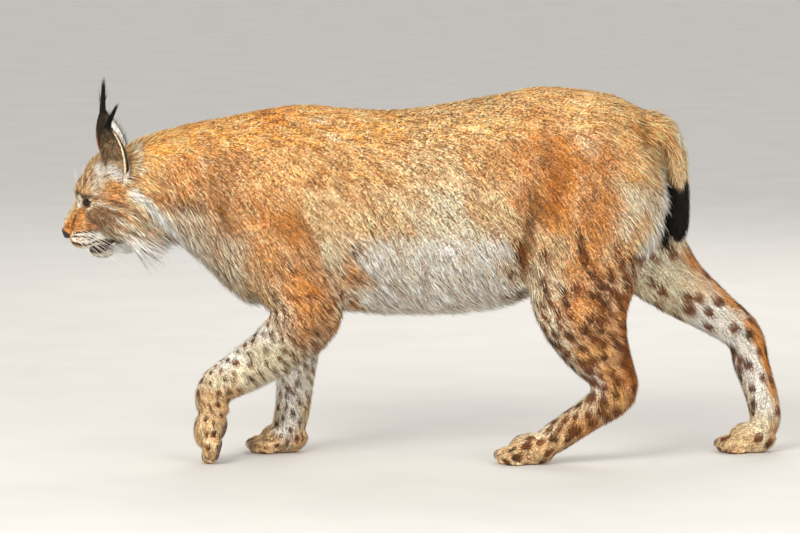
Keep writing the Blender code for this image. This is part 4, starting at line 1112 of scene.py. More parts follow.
def add_node(tree, kind, sockets=(), **settings):
    """A new node with its settings, and with links or values in the given sockets."""
    node = tree.nodes.new(kind)
    for name, value in settings.items():
        setattr(node, name, value)
    for key, value in dict(sockets).items():
        feed(tree, node.inputs[key], value)
    return node


def read(tree, name, output="Vector"):
    """A material's own reading of a named attribute of the mesh."""
    return add_node(tree, "ShaderNodeAttribute", attribute_name=name).outputs[output]


def object_place(tree):
    """The place on the piece."""
    return add_node(tree, "ShaderNodeTexCoord").outputs["Object"]


def calc(tree, operation, *values):
    """A math node's output."""
    return add_node(tree, "ShaderNodeMath", enumerate(values), operation=operation).outputs[0]


def times(tree, value, *others):
    """The product of several values."""
    for other in others:
        value = calc(tree, "MULTIPLY", value, other)
    return value


def vector_calc(tree, operation, *values, output="Vector"):
    """A vector math node's output."""
    node = add_node(tree, "ShaderNodeVectorMath", enumerate(values), operation=operation)
    return node.outputs[output]


def scaled(tree, vector, amount):
    """A vector or a colour times a number."""
    sockets = {0: vector, "Scale": amount}
    return add_node(tree, "ShaderNodeVectorMath", sockets, operation="SCALE").outputs["Vector"]


def split(tree, vector):
    """A vector's three numbers."""
    return add_node(tree, "ShaderNodeSeparateXYZ", {0: vector}).outputs


def join(tree, *numbers):
    """A vector of up to three numbers."""
    return add_node(tree, "ShaderNodeCombineXYZ", enumerate(numbers)).outputs[0]


def mix_colour(tree, factor, a, b):
    """A colour between two others."""
    return add_node(tree, "ShaderNodeMix", {0: factor, 6: a, 7: b}, data_type="RGBA").outputs[2]


def between(tree, value, low, high, out_low=0.0, out_high=1.0):
    """A smooth step of the value between two limits."""
    values = enumerate((value, low, high, out_low, out_high))
    step = add_node(tree, "ShaderNodeMapRange", values, interpolation_type="SMOOTHSTEP")
    return step.outputs["Result"]


def noise(tree, where, scale, detail=2.0, roughness=0.5):
    """A noise texture's strength at a place."""
    sockets = {"Vector": where, "Scale": scale, "Detail": detail, "Roughness": roughness}
    return add_node(tree, "ShaderNodeTexNoise", sockets).outputs["Fac"]


def solid(colour):
    """A colour with its alpha."""
    return (*colour, 1)


def new_material(name, values):
    """A material with its tree and its shader, whose own sockets take the values."""
    material = bpy.data.materials.new(name)
    material.use_nodes = True
    shader = material.node_tree.nodes["Principled BSDF"]
    for key, value in values.items():
        shader.inputs[key].default_value = value
    return material, material.node_tree, shader.inputs


def add_bump(tree, sockets, height, strength, depth):
    """Raises the surface by a height."""
    bump = add_node(tree, "ShaderNodeBump",
                    {"Strength": strength, "Distance": depth, "Height": height})
    feed(tree, sockets["Normal"], bump.outputs["Normal"])


def skin_material():
    """Short hair close to the skin: the coat's own marks, in fine streaks along its lie, with
    painted shade darkening the streaks as in the depth of the coat.
    """
    if "lynx_skin" in bpy.data.materials:
        return bpy.data.materials["lynx_skin"]
    material, tree, sockets = new_material(
        "lynx_skin", {"Roughness": 0.8, "Specular IOR Level": 0.2})
    where = object_place(tree)
    marks = add_node(tree, "ShaderNodeGroup", node_tree=coat_marks(), sockets={
        "Root": where, "Pelt": read(tree, "pelt"), "Marks": read(tree, "marks"),
        "Grain": read(tree, "grain", "Fac"), "Tone": 0.5,
    })
    # The place with its run along the hair's lie squeezed, so that noise draws out into hairs
    near = vector_calc(tree, "SUBTRACT", where, tuple(HEAD_PIVOT))
    lie = read(tree, "lie")
    run = times(tree, vector_calc(tree, "DOT_PRODUCT", near, lie, output="Value"), -0.86)
    hairs = noise(tree, vector_calc(tree, "ADD", near, scaled(tree, lie, run)), 1100, 2, 0.6)
    # Painted shade: the skin darker in the streaks between hairs, as under the coat
    painted_shade = between(tree, hairs, 0.3, 0.7, 0.58, 1.0)
    feed(tree, sockets["Base Color"], scaled(tree, marks.outputs["Colour"], painted_shade))
    add_bump(tree, sockets, hairs, 0.6, 0.0008)
    return material


def new_group(name, kind, inputs, outputs):
    """A node group with named sockets, what comes in, and the node that takes what goes out."""
    tree = bpy.data.node_groups.new(name, kind)
    for in_out, sockets in (("INPUT", inputs), ("OUTPUT", outputs)):
        for label, form, default in sockets:
            socket = tree.interface.new_socket(
                label, in_out=in_out, socket_type="NodeSocket" + form)
            if default is not None:
                socket.default_value = default
    return tree, add_node(tree, "NodeGroupInput").outputs, add_node(tree, "NodeGroupOutput")


def coat_marks():
    """The group of wisps, flecks and spots that skin and coat share."""
    name = "Lynx coat marks"
    if name in bpy.data.node_groups:
        return bpy.data.node_groups[name]
    look = bpy.context.scene.lynx_coat
    tree, given, end = new_group(
        name, "ShaderNodeTree",
        [("Root", "Vector", None), ("Pelt", "Color", (0.5, 0.3, 0.1, 1)), ("Marks", "Vector", None),
         ("Grain", "Float", 0.0), ("Tone", "Float", 0.5), ("Along", "Float", 0.5)],
        [("Colour", "Color", None)],
    )
    root, colour, along = given["Root"], given["Pelt"], given["Along"]
    fleck, cream, spot = split(tree, given["Marks"])
    umber = solid(UMBER)
    # Fair hairs are a lighter tint of the coat about them
    pale = mix_colour(tree, 0.5, scaled(tree, colour, 1.3), solid(look.cream_colour))
    pale = vector_calc(tree, "MINIMUM", pale, (0.97, 0.97, 0.97))

    def patches(scale, low, high, offset):
        """Patches of hairs that look alike, smaller where the grain is finer."""
        where = vector_calc(tree, "ADD", root, offset)
        sizes = {2: between(tree, noise(tree, where, scale, 3, 0.6), low, high),
                 3: between(tree, noise(tree, where, 3.2 * scale, 2, 0.6), low, high)}
        return add_node(tree, "ShaderNodeMix", {0: given["Grain"], **sizes}).outputs[0]

    def locks(scale):
        """Three numbers for each small lock of neighbours that look alike."""
        cell = add_node(tree, "ShaderNodeTexVoronoi", {"Scale": scale, "Vector": root})
        return add_node(tree, "ShaderNodeSeparateColor", {0: cell.outputs["Color"]}).outputs

    streak, fine = locks(240), locks(470)
    ragged = calc(tree, "MULTIPLY_ADD", noise(tree, root, 330, 2), 0.55, -0.275)
    spots = between(tree, calc(tree, "ADD", spot, ragged), 0.38, 0.60)
    ink = mix_colour(tree, between(tree, noise(tree, root, 55, 1), 0.36, 0.52),
                     solid(look.spot_colour), solid(SPOT_RED))
    for tint, *share in (
        # Cream wisps, brown flecks and darker ones, in patches
        (pale, patches(62, 0.50, 0.60, (3.1, 7.7, 1.3)), cream),
        (solid(BROWN), patches(90, 0.52, 0.60, (0.0, 0.0, 0.0)), fleck, 0.85),
        (umber, patches(115, 0.575, 0.645, (9.2, 1.7, 4.4)), fleck, 0.75),
        # Narrow streaks, where a few neighbours are cream or dark together
        (pale, between(tree, streak[0], 0.64, 0.72), cream, 0.7),
        (umber, between(tree, streak[1], 0.67, 0.75), fleck, 0.8),
        # The finest locks: some end cream, some end dark
        (pale, between(tree, fine[1], 0.62, 0.66), between(tree, along, 0.35, 0.7), cream, 0.8),
        (umber, between(tree, fine[1], 0.24, 0.18), between(tree, along, 0.4, 0.7), fleck, 0.75),
        # Spots, ragged at the edge
        (ink, spots, 0.95),
    ):
        colour = mix_colour(tree, times(tree, *share), colour, tint)
    # Slow drift over the body, and the own tone of each lock and each hair
    strength = times(tree, between(tree, noise(tree, root, 14, 2), 0.3, 0.7, 0.88, 1.12),
                     between(tree, fine[0], 0.1, 0.9, 0.50, 1.45),
                     between(tree, given["Tone"], 0.0, 1.0, 0.82, 1.16))
    feed(tree, end.inputs["Colour"], scaled(tree, colour, strength))
    return tree


def coat_material(name, root_painted_shade=0.22, tip_painted_light=1.22):
    """Hair: the shared marks by its root's place, darker at the root by painted shade and lighter
    at the tip by painted light.
    """
    material, tree, sockets = new_material(
        name, {"Roughness": 0.72, "Specular IOR Level": 0.15, "Sheen Weight": 0.03})
    along = split(tree, read(tree, "cell"))[2]
    marks = add_node(tree, "ShaderNodeGroup", node_tree=coat_marks(), sockets={
        "Root": read(tree, "root"), "Pelt": read(tree, "pelt"), "Marks": read(tree, "marks"),
        "Grain": read(tree, "grain", "Fac"), "Tone": split(tree, read(tree, "tone"))[0],
        "Along": along,
    })
    # Painted shade deep in the coat towards the root, painted light at the tip
    painted_shade = between(tree, along, 0.0, 0.7, root_painted_shade, tip_painted_light)
    shaded = scaled(tree, marks.outputs["Colour"], painted_shade)
    shaded = vector_calc(tree, "MINIMUM", shaded, (0.96, 0.96, 0.96))
    feed(tree, sockets["Base Color"], shaded)
    facing = add_node(tree, "ShaderNodeNewGeometry").outputs["Normal"]
    soft = vector_calc(tree, "ADD", facing, scaled(tree, read(tree, "away"), 1.1))
    feed(tree, sockets["Normal"], vector_calc(tree, "NORMALIZE", soft))
    return material


def coat_tree():
    """The tree that grows one region's hairs out of the skin's fields."""
    name = "Coat"
    if name in bpy.data.node_groups:
        return bpy.data.node_groups[name]
    tree, value, end = new_group(
        name, "GeometryNodeTree",
        [("Geometry", "Geometry", None), ("Region", "Int", 0), ("Spacing", "Float", 0.003),
         ("Segments", "Int", 2), ("Length", "Float", 1.0), ("Width", "Float", 1.0),
         ("Bend", "Float", 0.10), ("Droop", "Float", 0.06), ("Lock size", "Float", 0.009),
         ("Locking", "Float", 0.40), ("Stray", "Float", 0.5), ("Sunk", "Float", 0.0015),
         ("Seed", "Int", 1), ("Finish", "Material", None)],
        [("Geometry", "Geometry", None)],
    )

    def named(attribute, kind="FLOAT"):
        """A field that the carrier or the hairs have."""
        return add_node(tree, "GeometryNodeInputNamedAttribute", {"Name": attribute},
                        data_type=kind).outputs["Attribute"]

    def keep(geometry, attribute, content, kind="FLOAT_VECTOR", domain="POINT"):
        """The geometry with a new field."""
        sockets = {"Name": attribute, "Geometry": geometry, "Value": content}
        return add_node(tree, "GeometryNodeStoreNamedAttribute", sockets,
                        data_type=kind, domain=domain).outputs["Geometry"]

    # Roots on the region's faces, each with three random numbers
    here = add_node(tree, "FunctionNodeCompare", {2: named("region", "INT"), 3: value["Region"]},
                    data_type="INT", operation="EQUAL")
    crowd = calc(tree, "DIVIDE", 2.2, times(tree, value["Spacing"], value["Spacing"]))
    scatter = add_node(tree, "GeometryNodeDistributePointsOnFaces", distribute_method="POISSON",
                       sockets={
                           "Mesh": value["Geometry"], "Selection": here.outputs[0],
                           "Distance Min": value["Spacing"], "Density Max": crowd,
                           "Density Factor": named("dense"), "Seed": value["Seed"],
                       })
    dice = add_node(tree, "FunctionNodeRandomValue", {"Seed": value["Seed"]},
                    data_type="FLOAT_VECTOR")
    position = add_node(tree, "GeometryNodeInputPosition").outputs[0]
    roots = keep(keep(scatter.outputs["Points"], "root", position), "tone", dice.outputs[0])

    # One hair for each root: a cone that knows its own shape
    cone = add_node(tree, "GeometryNodeMeshCone", fill_type="NGON", sockets={
        "Vertices": 3, "Side Segments": value["Segments"], "Fill Segments": 1,
        "Radius Top": 0.0, "Radius Bottom": 1.0, "Depth": 1.0,
    })
    smooth = add_node(tree, "GeometryNodeSetShadeSmooth",
                      {"Geometry": keep(cone.outputs["Mesh"], "cell", position)})
    grow = add_node(tree, "GeometryNodeInstanceOnPoints",
                    {"Points": roots, "Instance": smooth.outputs[0]})
    real = add_node(tree, "GeometryNodeRealizeInstances", {0: grow.outputs[0]})

    # Each hair runs along its lie, strays, stands off, bends back and droops
    root, lie, away, cell, tone, chart = (
        named(field, "FLOAT_VECTOR") for field in ("root", "lie", "away", "cell", "tone", "chart")
    )
    x, y, t = split(tree, cell)
    first, second, third = split(tree, tone)
    across = vector_calc(tree, "NORMALIZE", vector_calc(tree, "CROSS_PRODUCT", away, lie))
    stray = times(tree, calc(tree, "SUBTRACT", first, 0.5), value["Stray"])
    wave = calc(tree, "SUBTRACT", noise(tree, root, 30, 1), 0.5)
    stray = calc(tree, "MULTIPLY_ADD", times(tree, wave, value["Stray"]), 2.2, stray)
    way = vector_calc(tree, "ADD", lie, scaled(tree, across, stray))
    way = vector_calc(tree, "NORMALIZE", way)
    size = times(tree, named("hair"), value["Length"],
                 calc(tree, "MULTIPLY_ADD", second, 0.55, 0.68))
    stand = times(tree, named("lift"), calc(tree, "MULTIPLY_ADD", third, 0.9, 0.55))
    reach = times(tree, size, t)
    ahead = times(tree, reach, calc(tree, "COSINE", stand))
    rise = calc(tree, "SUBTRACT", times(tree, reach, calc(tree, "SINE", stand)),
                times(tree, reach, t, value["Bend"]))
    rise = calc(tree, "SUBTRACT", rise,
                times(tree, value["Sunk"], calc(tree, "SUBTRACT", 1.0, t)))
    # Tips of neighbours draw together into locks
    lock = add_node(tree, "ShaderNodeTexVoronoi", {
        "Scale": calc(tree, "DIVIDE", 1.0, value["Lock size"]), "Vector": root,
        "Randomness": 1.0,
    })
    pull = vector_calc(tree, "SUBTRACT", lock.outputs["Position"], root)
    off = vector_calc(tree, "DOT_PRODUCT", pull, away, output="Value")
    pull = vector_calc(tree, "SUBTRACT", pull, scaled(tree, away, off))
    half = times(tree, named("wide"), value["Width"],
                 calc(tree, "MULTIPLY_ADD", second, 0.5, 0.75),
                 calc(tree, "MULTIPLY_ADD", t, 1.3, 0.85))
    place = root
    for direction, amount in (
        (way, ahead), (away, rise), ((0, 0, -1), times(tree, reach, t, value["Droop"])),
        (pull, times(tree, value["Locking"], t, between(tree, size, 0.006, 0.020))),
        (across, times(tree, half, x)), (away, times(tree, half, y, 0.45)),
    ):
        place = vector_calc(tree, "ADD", place, scaled(tree, direction, amount))
    move = add_node(tree, "GeometryNodeSetPosition",
                    {"Geometry": real.outputs[0], "Position": place})

    # The map follows the region's axis and the way round it
    along, aside, other = split(tree, chart)
    turn = calc(tree, "MULTIPLY_ADD", calc(tree, "ARCTAN2", other, aside),
                0.98 / (2 * math.pi), 0.5)
    u = calc(tree, "MULTIPLY_ADD", x, 0.0015, along)
    v = calc(tree, "ADD", turn, calc(tree, "MULTIPLY_ADD", t, 0.003, -0.0015))
    mapped = keep(move.outputs["Geometry"], "OFBake", join(tree, u, v), "FLOAT2", "CORNER")
    finish = add_node(tree, "GeometryNodeSetMaterial",
                      {"Geometry": mapped, "Material": value["Finish"]})
    feed(tree, end.inputs["Geometry"], finish.outputs["Geometry"])
    return tree


def grow_coat(name, carrier, material, **sizes):
    """Grows one piece of coat from a carrier mesh that has the coat's fields."""
    piece = link_object(name, carrier.data.copy())
    tree = coat_tree()
    modifier = piece.modifiers.new("Coat", "NODES")
    modifier.node_group = tree
    look = bpy.context.scene.lynx_coat
    sizes = {"Length": look.length, "Width": look.width, "Seed": look.seed,
             "Finish": material, **sizes}
    for item in tree.interface.items_tree:
        if item.in_out == "INPUT" and item.name in sizes:
            modifier[item.identifier] = sizes[item.name]
    apply_modifiers(piece)
    for attribute in ("lie", "hair", "lift", "wide", "chart", "dense", "region", "share"):
        if attribute in piece.data.attributes:
            piece.data.attributes.remove(piece.data.attributes[attribute])
    if not piece.data.polygons:
        raise RuntimeError(f"no hair grew for {name}")
    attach(piece, "root")
    return piece


def model_flesh():
    """The whole animal as one skin, with paws and face finer than the rest."""
    bm = bmesh.new()
    add_trunk(bm)
    for joints in (HIND_LEFT, HIND_RIGHT, FORE_LEFT, FORE_RIGHT, TAIL):
        add_limb(bm, joints)
    add_lump(bm, TAIL_END)
    add_skull(bm)
    skin = mesh_object("skin", bm)
    fuse_clay(skin, FLESH_VOXEL, FLESH_STEPS)
    bm = bmesh.new()
    for place in PAW_PLACES.values():
        add_paw(bm, paw_frame(*place))
    add_face(bm)
    bmesh.ops.recalc_face_normals(bm, faces=bm.faces)
    bm.from_mesh(skin.data)
    bm.to_mesh(skin.data)
    bm.free()
    fuse_clay(skin, FACE_VOXEL, FACE_STEPS)
    refine_face(skin)
    return skin


def tail_black(points):
    """1 on the black end of the tail, ragged at its upper border, and 0 elsewhere."""
    x, y, z = points.T
    on_tail = (x > 0.392) & (np.abs(y) < 0.036) & (z > 0.355)
    ragged = 0.006 * np.sin(y * 160) + 0.004 * np.sin(x * 210)
    low, high = TAIL_BLACK_LEVEL - TAIL_BORDER, TAIL_BLACK_LEVEL + TAIL_BORDER
    return on_tail * (1 - fade(z + ragged, low, high))


def toe_creases():
    """The lines that part the toes of every paw."""
    for place in PAW_PLACES.values():
        paw = paw_frame(*place)
        for sideways in (-TOE_GAP, 0.0, TOE_GAP):
            yield [paw @ Vector((x, sideways * (1 + 4 * (0.02 + x)), z)) for x, z in TOE_CREASE]


def colour_coat(points, away, lie, tree, pelt, marks):
    """Lays tail end, spots and marks over the colours, in place, and thins what they cover."""
    black = tail_black(points)
    pelt[:] = tinted(pelt, black, BLACK)
    marks *= (1 - black)[:, None]
    # White places have fewer flecks, and so have the insides of the hind legs
    white = fade(pelt[:, 2], 0.5, 0.8)
    inside = fade(-away[:, 1] * np.sign(points[:, 1]), 0.2, 0.7) * (points[:, 0] > 0.1)
    marks[:, 0] *= (1 - 0.35 * white) * (1 - 0.5 * inside)
    marks[:, 1] *= 1 - 0.5 * white
    fair = fade(pelt.sum(1), 0.9, 1.6)
    weight = marks[:, 2] * (0.6 + 0.4 * fair) * (1 - 0.65 * inside)
    marks[:, 2] = scatter_spots(points, away, lie, weight)
    body, head = points[:, 0] > -0.43, points[:, 0] < -0.40
    strength = paint_marks(points, pelt, tree, BODY_MARKS, Matrix.Identity(4), body)
    marks[:, 1] *= 1 - 0.85 * strength
    roots = [root for row in WHISKER_ROWS for root in row]
    dots = [Mark([(x, z), (x + 0.001, z)], WHISKER_DOT, 0.95, BLACK) for x, z in roots]
    strength = paint_marks(points, pelt, tree, FACE_MARKS + dots, head_turn(), head)
    marks *= (1 - 0.5 * strength)[:, None]


class LYNX_OT_skin(bpy.types.Operator):
    """Make the skin and lay the fields of the coat over it"""

    bl_idname = "lynx.skin"
    bl_label = "Skin"

    def execute(self, context):
        skin = model_flesh()
        mesh = skin.data
        points = positions(mesh)
        away = read_rows(mesh.vertex_normals)
        tree = surface_tree(skin)
        # Borders between colours wander a little
        wander = np.sin(points[:, [2, 0, 1]] * 95 + points[:, [0, 1, 2]] * 60) * 0.009
        wander *= fade(points[:, 0], -0.50, -0.40)[:, None]
        values = blend_guides(points + wander, all_guides())
        lie = along_skin(values[:, 0:3], away)
        pelt, marks = values[:, 5:8], values[:, 8:11]
        hair, lift, inset, wide = values[:, [3, 4, 11, 12]].T
        colour_coat(points, away, lie, tree, pelt, marks)
        grain = 1 - fade(points[:, 0], -0.50, -0.44)
        # Bare or near bare places: soles, lips, nose and the rims of the lids
        turn = head_turn()
        lips = path_distance(points, mouth_points(tree))
        short = fade(lips, 0.0020, 0.0065)
        short *= fade(distance(points, turn @ Vector(NOSE_PAD[:3])), 0.0110, 0.0150)
        dense = fade(lips, 0.0012, 0.0030) * fade(points[:, 2], 0.0012, 0.004)
        for side in (-1, 1):
            eye = eye_frame(side)
            opening = distance(points, eye @ Vector((-EYE_RADIUS, 0, 0)))
            short *= fade(opening, 0.0085, 0.017)
            gap = distance(points, eye.translation)
            dense *= fade(gap, EYE_RADIUS + 0.0006, EYE_RADIUS + 0.0016)
        sole = fade(points[:, 2], 0.002, 0.010)
        short *= np.maximum(sole, 0.05)
        hair *= 0.12 + 0.88 * short
        inset *= short
        # The bridge stays full down to the nose
        full = 1 - fade(distance(points, turn @ Vector(BRIDGE_END)), 0.008, 0.026)
        inset = inset * (1 - full) - 0.0026 * full
        # The mouth is a groove between the lips
        groove = MOUTH_DEPTH * (1 - fade(lips, 0.0006, 0.0034))
        for crease in toe_creases():
            gap = path_distance(points, crease)
            groove += CREASE_DEPTH * (1 - fade(gap, 0.0008, 0.0050))
            # Painted shade darkens the coat along each crease between the toes
            pelt *= (1 - 0.55 * (1 - fade(gap, 0.0005, 0.0030)))[:, None]
        flat = points[:, 2].copy()
        points -= away * (inset + groove)[:, None]
        level = np.maximum(points[:, 2], SOLE_HEIGHT)
        points[:, 2] = np.where(flat < 0.0015, SOLE_HEIGHT, level)
        mesh.vertices.foreach_set("co", points.astype(np.float32).ravel())
        mesh.update()
        open_eyes(skin)
        fields = {
            "lie": lie, "away": away, "hair": hair, "lift": lift, "pelt": pelt, "marks": marks,
            "wide": wide * (0.3 + 0.7 * short), "dense": dense, "grain": grain,
        }
        old = point_tree(points)
        hide = skin
        hide.name = "hide"
        skin = link_object("skin", hide.data.copy())
        thin_body(skin, SKIN_TRIANGLES)
        self.lay_fields(hide, old, fields)
        kept = ("lie", "pelt", "marks", "grain")
        self.lay_fields(skin, old, {name: fields[name] for name in kept})
        skin.data.materials.clear()
        skin.data.materials.append(skin_material())
        skin.data.shade_smooth()
        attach(skin, "root")
        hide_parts(*[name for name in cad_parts
                            if not name.startswith(("ear", "eye", "nose"))])
        return {"FINISHED"}

    def lay_fields(self, obj, old, fields):
        """Carries the fields over to a mesh by the nearest of the old points."""
        mesh = obj.data
        points = positions(mesh)
        pick = np.array([old.find(point)[1] for point in points])
        for name, content in fields.items():
            content = content[pick]
            store(mesh, name, self.rim_lids(points, content) if name == "pelt" else content)
        if "hair" in fields:
            store(mesh, "region", region_of(read_rows(mesh.polygons, "center")), "FACE")
            store(mesh, "chart", chart_of(points, region_of(points)))

    def rim_lids(self, points, colours):
        """Blackens the bare edge of the lids, and draws it out to both corners of the eye."""
        for side in (-1, 1):
            edge = lid_curve(side, 48, EYE_RADIUS + 0.6 * LID_THICKNESS)
            gap = path_distance(points, edge + edge[:1])
            colours = tinted(colours, 1 - fade(gap, 0.0014, 0.0028), BLACK)
        return colours


class LYNX_OT_coat(bpy.types.Operator):
    """Grow the coat of every region out of the skin"""

    bl_idname = "lynx.coat"
    bl_label = "Coat"

    def execute(self, context):
        hide = bpy.data.objects.get("hide")
        if hide is None:
            raise RuntimeError("the skin has to be made before its coat")
        look = context.scene.lynx_coat
        body = coat_material("lynx_coat")
        # The short coat takes a gentler ramp of painted shade at the root and painted light at the
        # tip
        short = coat_material("lynx_short_coat", 0.42, 1.18)
        for index, region in enumerate(REGIONS):
            slot, finish, sizes = "coat", body, {"Spacing": look.body_spacing}
            if region == "head":
                slot = "face_coat"
                sizes = {"Spacing": look.head_spacing, "Lock size": 0.007, "Locking": 0.35,
                         "Stray": 0.35, "Sunk": 0.0008, "Droop": 0.03}
            elif region == "face":
                slot, finish = "face_coat", short
                sizes = {"Spacing": look.face_spacing, "Segments": 1, "Locking": 0.0,
                         "Stray": 0.4, "Sunk": 0.0004, "Droop": 0.0}
            elif "leg" in region:
                slot, finish = "leg_coat", short
                sizes = {"Spacing": look.leg_spacing, "Segments": 1, "Lock size": 0.007,
                         "Locking": 0.3, "Sunk": 0.0008}
            elif region == "tail":
                sizes = {"Spacing": TAIL_SPACING}
            piece = grow_coat("coat_" + region, hide, finish, Region=index, **sizes)
            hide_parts("torso")
        bpy.data.objects.remove(hide)
        return {"FINISHED"}


def ear_frame(side):
    """The place of an ear: its Z runs up the ear and its -X out of the opening."""
    place = head_turn() @ Matrix.Translation(EAR_PLACE[side])
    for degrees, axis in ((-side * EAR_LEAN[side], "X"), (-EAR_NOD[side], "Y"),
                          (-side * EAR_TURN[side], "Z")):
        place = place @ Matrix.Rotation(math.radians(degrees), 4, axis)
    return place


def ear_sheet(side):
    """The ear as a thin cup, with the share of its height and width at each point."""
    bm = bmesh.new()
    rows, shares = [], []
    for i in range(-2, EAR_ROWS + 1):
        t = max(i, 0) / EAR_ROWS
        height = EAR_HEIGHT * t if i >= 0 else i * EAR_ROOT * 1.2
        swell = 0.78 + 1.1 * t - 0.75 * t * t
        radius = EAR_RADIUS * swell * (1 - t**2.4) ** 0.8 + EAR_TIP_RADIUS
        wrap = math.radians(EAR_WRAP - (EAR_WRAP - EAR_TIP_WRAP) * t)
        back = EAR_CURVE * t * t
        sweep = -side * EAR_SWEEP * t**1.3
        row = []
        for k in range(EAR_POINTS + 1):
            share = 2 * k / EAR_POINTS - 1
            turn = wrap * share
            x = EAR_DEPTH * radius * (math.cos(turn) - EAR_OFFSET) + back
            row.append(bm.verts.new((x, radius * math.sin(turn) + sweep, height)))
            shares.append((t, share, 0))
        rows.append(row)
    for low, high in zip(rows, rows[1:]):
        for k in range(EAR_POINTS):
            bm.faces.new((low[k], low[k + 1], high[k + 1], high[k]))
    bm.transform(ear_frame(side))
    return bm, shares


class LYNX_OT_ears(bpy.types.Operator):
    """Make the ears, with their short coat, rims and tufts"""

    bl_idname = "lynx.ears"
    bl_label = "Ears"

    def execute(self, context):
        look = context.scene.lynx_coat
        # The ears' hair takes a gentle ramp of painted shade at the root and painted light at the
        # tip
        hair = coat_material("lynx_ear_coat", 0.7, 1.15)
        for side, word in ((-1, "left"), (1, "right")):
            bm, shares = ear_sheet(side)
            cup = link_object("ear_" + word + "_cup", take_mesh(bm, "ear_" + word + "_cup"))
            store(cup.data, "share", shares)
            modify(cup, ("SOLIDIFY", {"thickness": EAR_THICKNESS, "offset": 0}))
            self.lay_fields(cup, side)
            cup.data.materials.append(skin_material())
            cup.data.shade_smooth()
            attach(cup, "root")
            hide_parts("ear_" + word)
            for index, part, spacing, stray in ((0, "coat", look.ear_spacing, 0.3),
                                                (1, "tuft", TUFT_SPACING, 0.05)):
                piece = grow_coat(f"ear_{word}_{part}", cup, hair, Region=index, Spacing=spacing,
                                  Stray=stray, Locking=0.0, Droop=0.0, Sunk=0.0006, Bend=0.02)
                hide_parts("ear_" + word)
        return {"FINISHED"}

    def lay_fields(self, cup, side):
        """Lays the coat's fields over an ear: black edge, tan rim, pale back, grey cup."""
        mesh = cup.data
        points = positions(mesh)
        away = read_rows(mesh.vertex_normals)
        frame_of_ear = ear_frame(side)
        back = frame_of_ear.inverted()
        local = moved(back, points)
        local_away = (np.array(back.to_3x3()) @ away.T).T
        t, across, _ = read_rows(mesh.attributes["share"].data).T
        # The inner side looks towards the cup's middle line
        middle = np.column_stack([0.2 * EAR_RADIUS + 0 * t, -side * EAR_SWEEP * t**1.3])
        inner = ((local[:, :2] - middle) * local_away[:, :2]).sum(1) < 0
        # 1 at the rear rim and -1 at the front one, whichever way the cup was wound
        ahead = points[across > 0.9, 0].mean() < points[across < -0.9, 0].mean()
        rear = -across if ahead else across
        rim = fade(np.abs(across), 0.86, 0.94) * (1 - fade(t, 0.88, 0.96))
        edge = np.abs(across) > 0.95
        # Inside: dark, with greyer hairs low down; outside: black with a pale patch
        low = np.clip(1 - t / 0.45, 0, 1)
        inside = tinted(np.array(SHADE), 0.75 * low, ASH)
        patch = fade(rear, -0.15, 0.05) * (1 - fade(rear, 0.54, 0.66)) * (1 - fade(t, 0.70, 0.84))
        patch = np.maximum(patch, 0.9 * (1 - fade(t, 0.10, 0.24)))
        outside = tinted(np.array(SOOT), patch, WHITE)
        tan = (~inner) * (np.abs(across) < 0.93) * fade(-away[:, 0], 0.78, 0.92)
        outside = tinted(outside, tan * (1 - fade(t, 0.80, 0.92)), SAND)
        pelt = np.where(inner[:, None], inside, outside)
        pelt = tinted(pelt, rim * (rear > 0), 0.5 * np.add(CREAM, OAT))
        # Black hair stands out behind the rear rim, pale hair from the front rim and the foot
        band = (~inner) & (rear > 0.68) & (rear < 0.94) & (t > 0.12)
        front = inner & ((t < 0.30) | (rear < -0.80) & (t < 0.6))
        pelt = np.where(band[:, None], np.array(SOOT), pelt)
        pelt = np.where((front & (t < 0.16))[:, None], np.array(SILVER), pelt)
        hair = np.select([edge, front, band, inner], [0.0035, 0.013, 0.010, 0.006], 0.005)
        lift = np.radians(np.select([front, band, inner], [30.0, 38.0, 18.0], 12.0))
        # The tip's hair draws together into the tuft
        tip = fade(t, 0.90, 0.97)
        turn = frame_of_ear.to_3x3()
        way = np.array(turn @ Vector(TUFT_WAY[side]).normalized())
        point = points[t > 0.97].mean(0) + way * TUFT_LENGTH[side]
        lie = np.array(turn @ Vector((0, 0, 1))) * (1 - tip[:, None])
        lie = lie + unit(point - points) * tip[:, None]
        lie = np.where(tip[:, None] > 0.5, unit(lie), along_skin(lie, away))
        mottle = 0.6 * inner * (1 - fade(t, 0.5, 0.8))
        heights = moved(back, read_rows(mesh.polygons, "center"))[:, 2]
        for name, content in {
            "lie": lie, "away": away, "hair": hair * (1 - tip) + TUFT_LENGTH[side] * tip,
            "lift": lift * (1 - tip) + math.radians(5) * tip, "wide": 0.00045 + 0.00015 * tip,
            "pelt": tinted(pelt, fade(t, 0.84, 0.92), BLACK),
            "marks": mottle[:, None] * np.array((1.0, 0.7, 0.0)),
            "dense": np.ones(len(points)), "grain": np.ones(len(points)),
            "chart": np.column_stack([0.05 + 0.9 * t, local[:, :2]]),
        }.items():
            store(mesh, name, content)
        store(mesh, "region", (heights > 0.955 * EAR_HEIGHT).astype(int), "FACE")


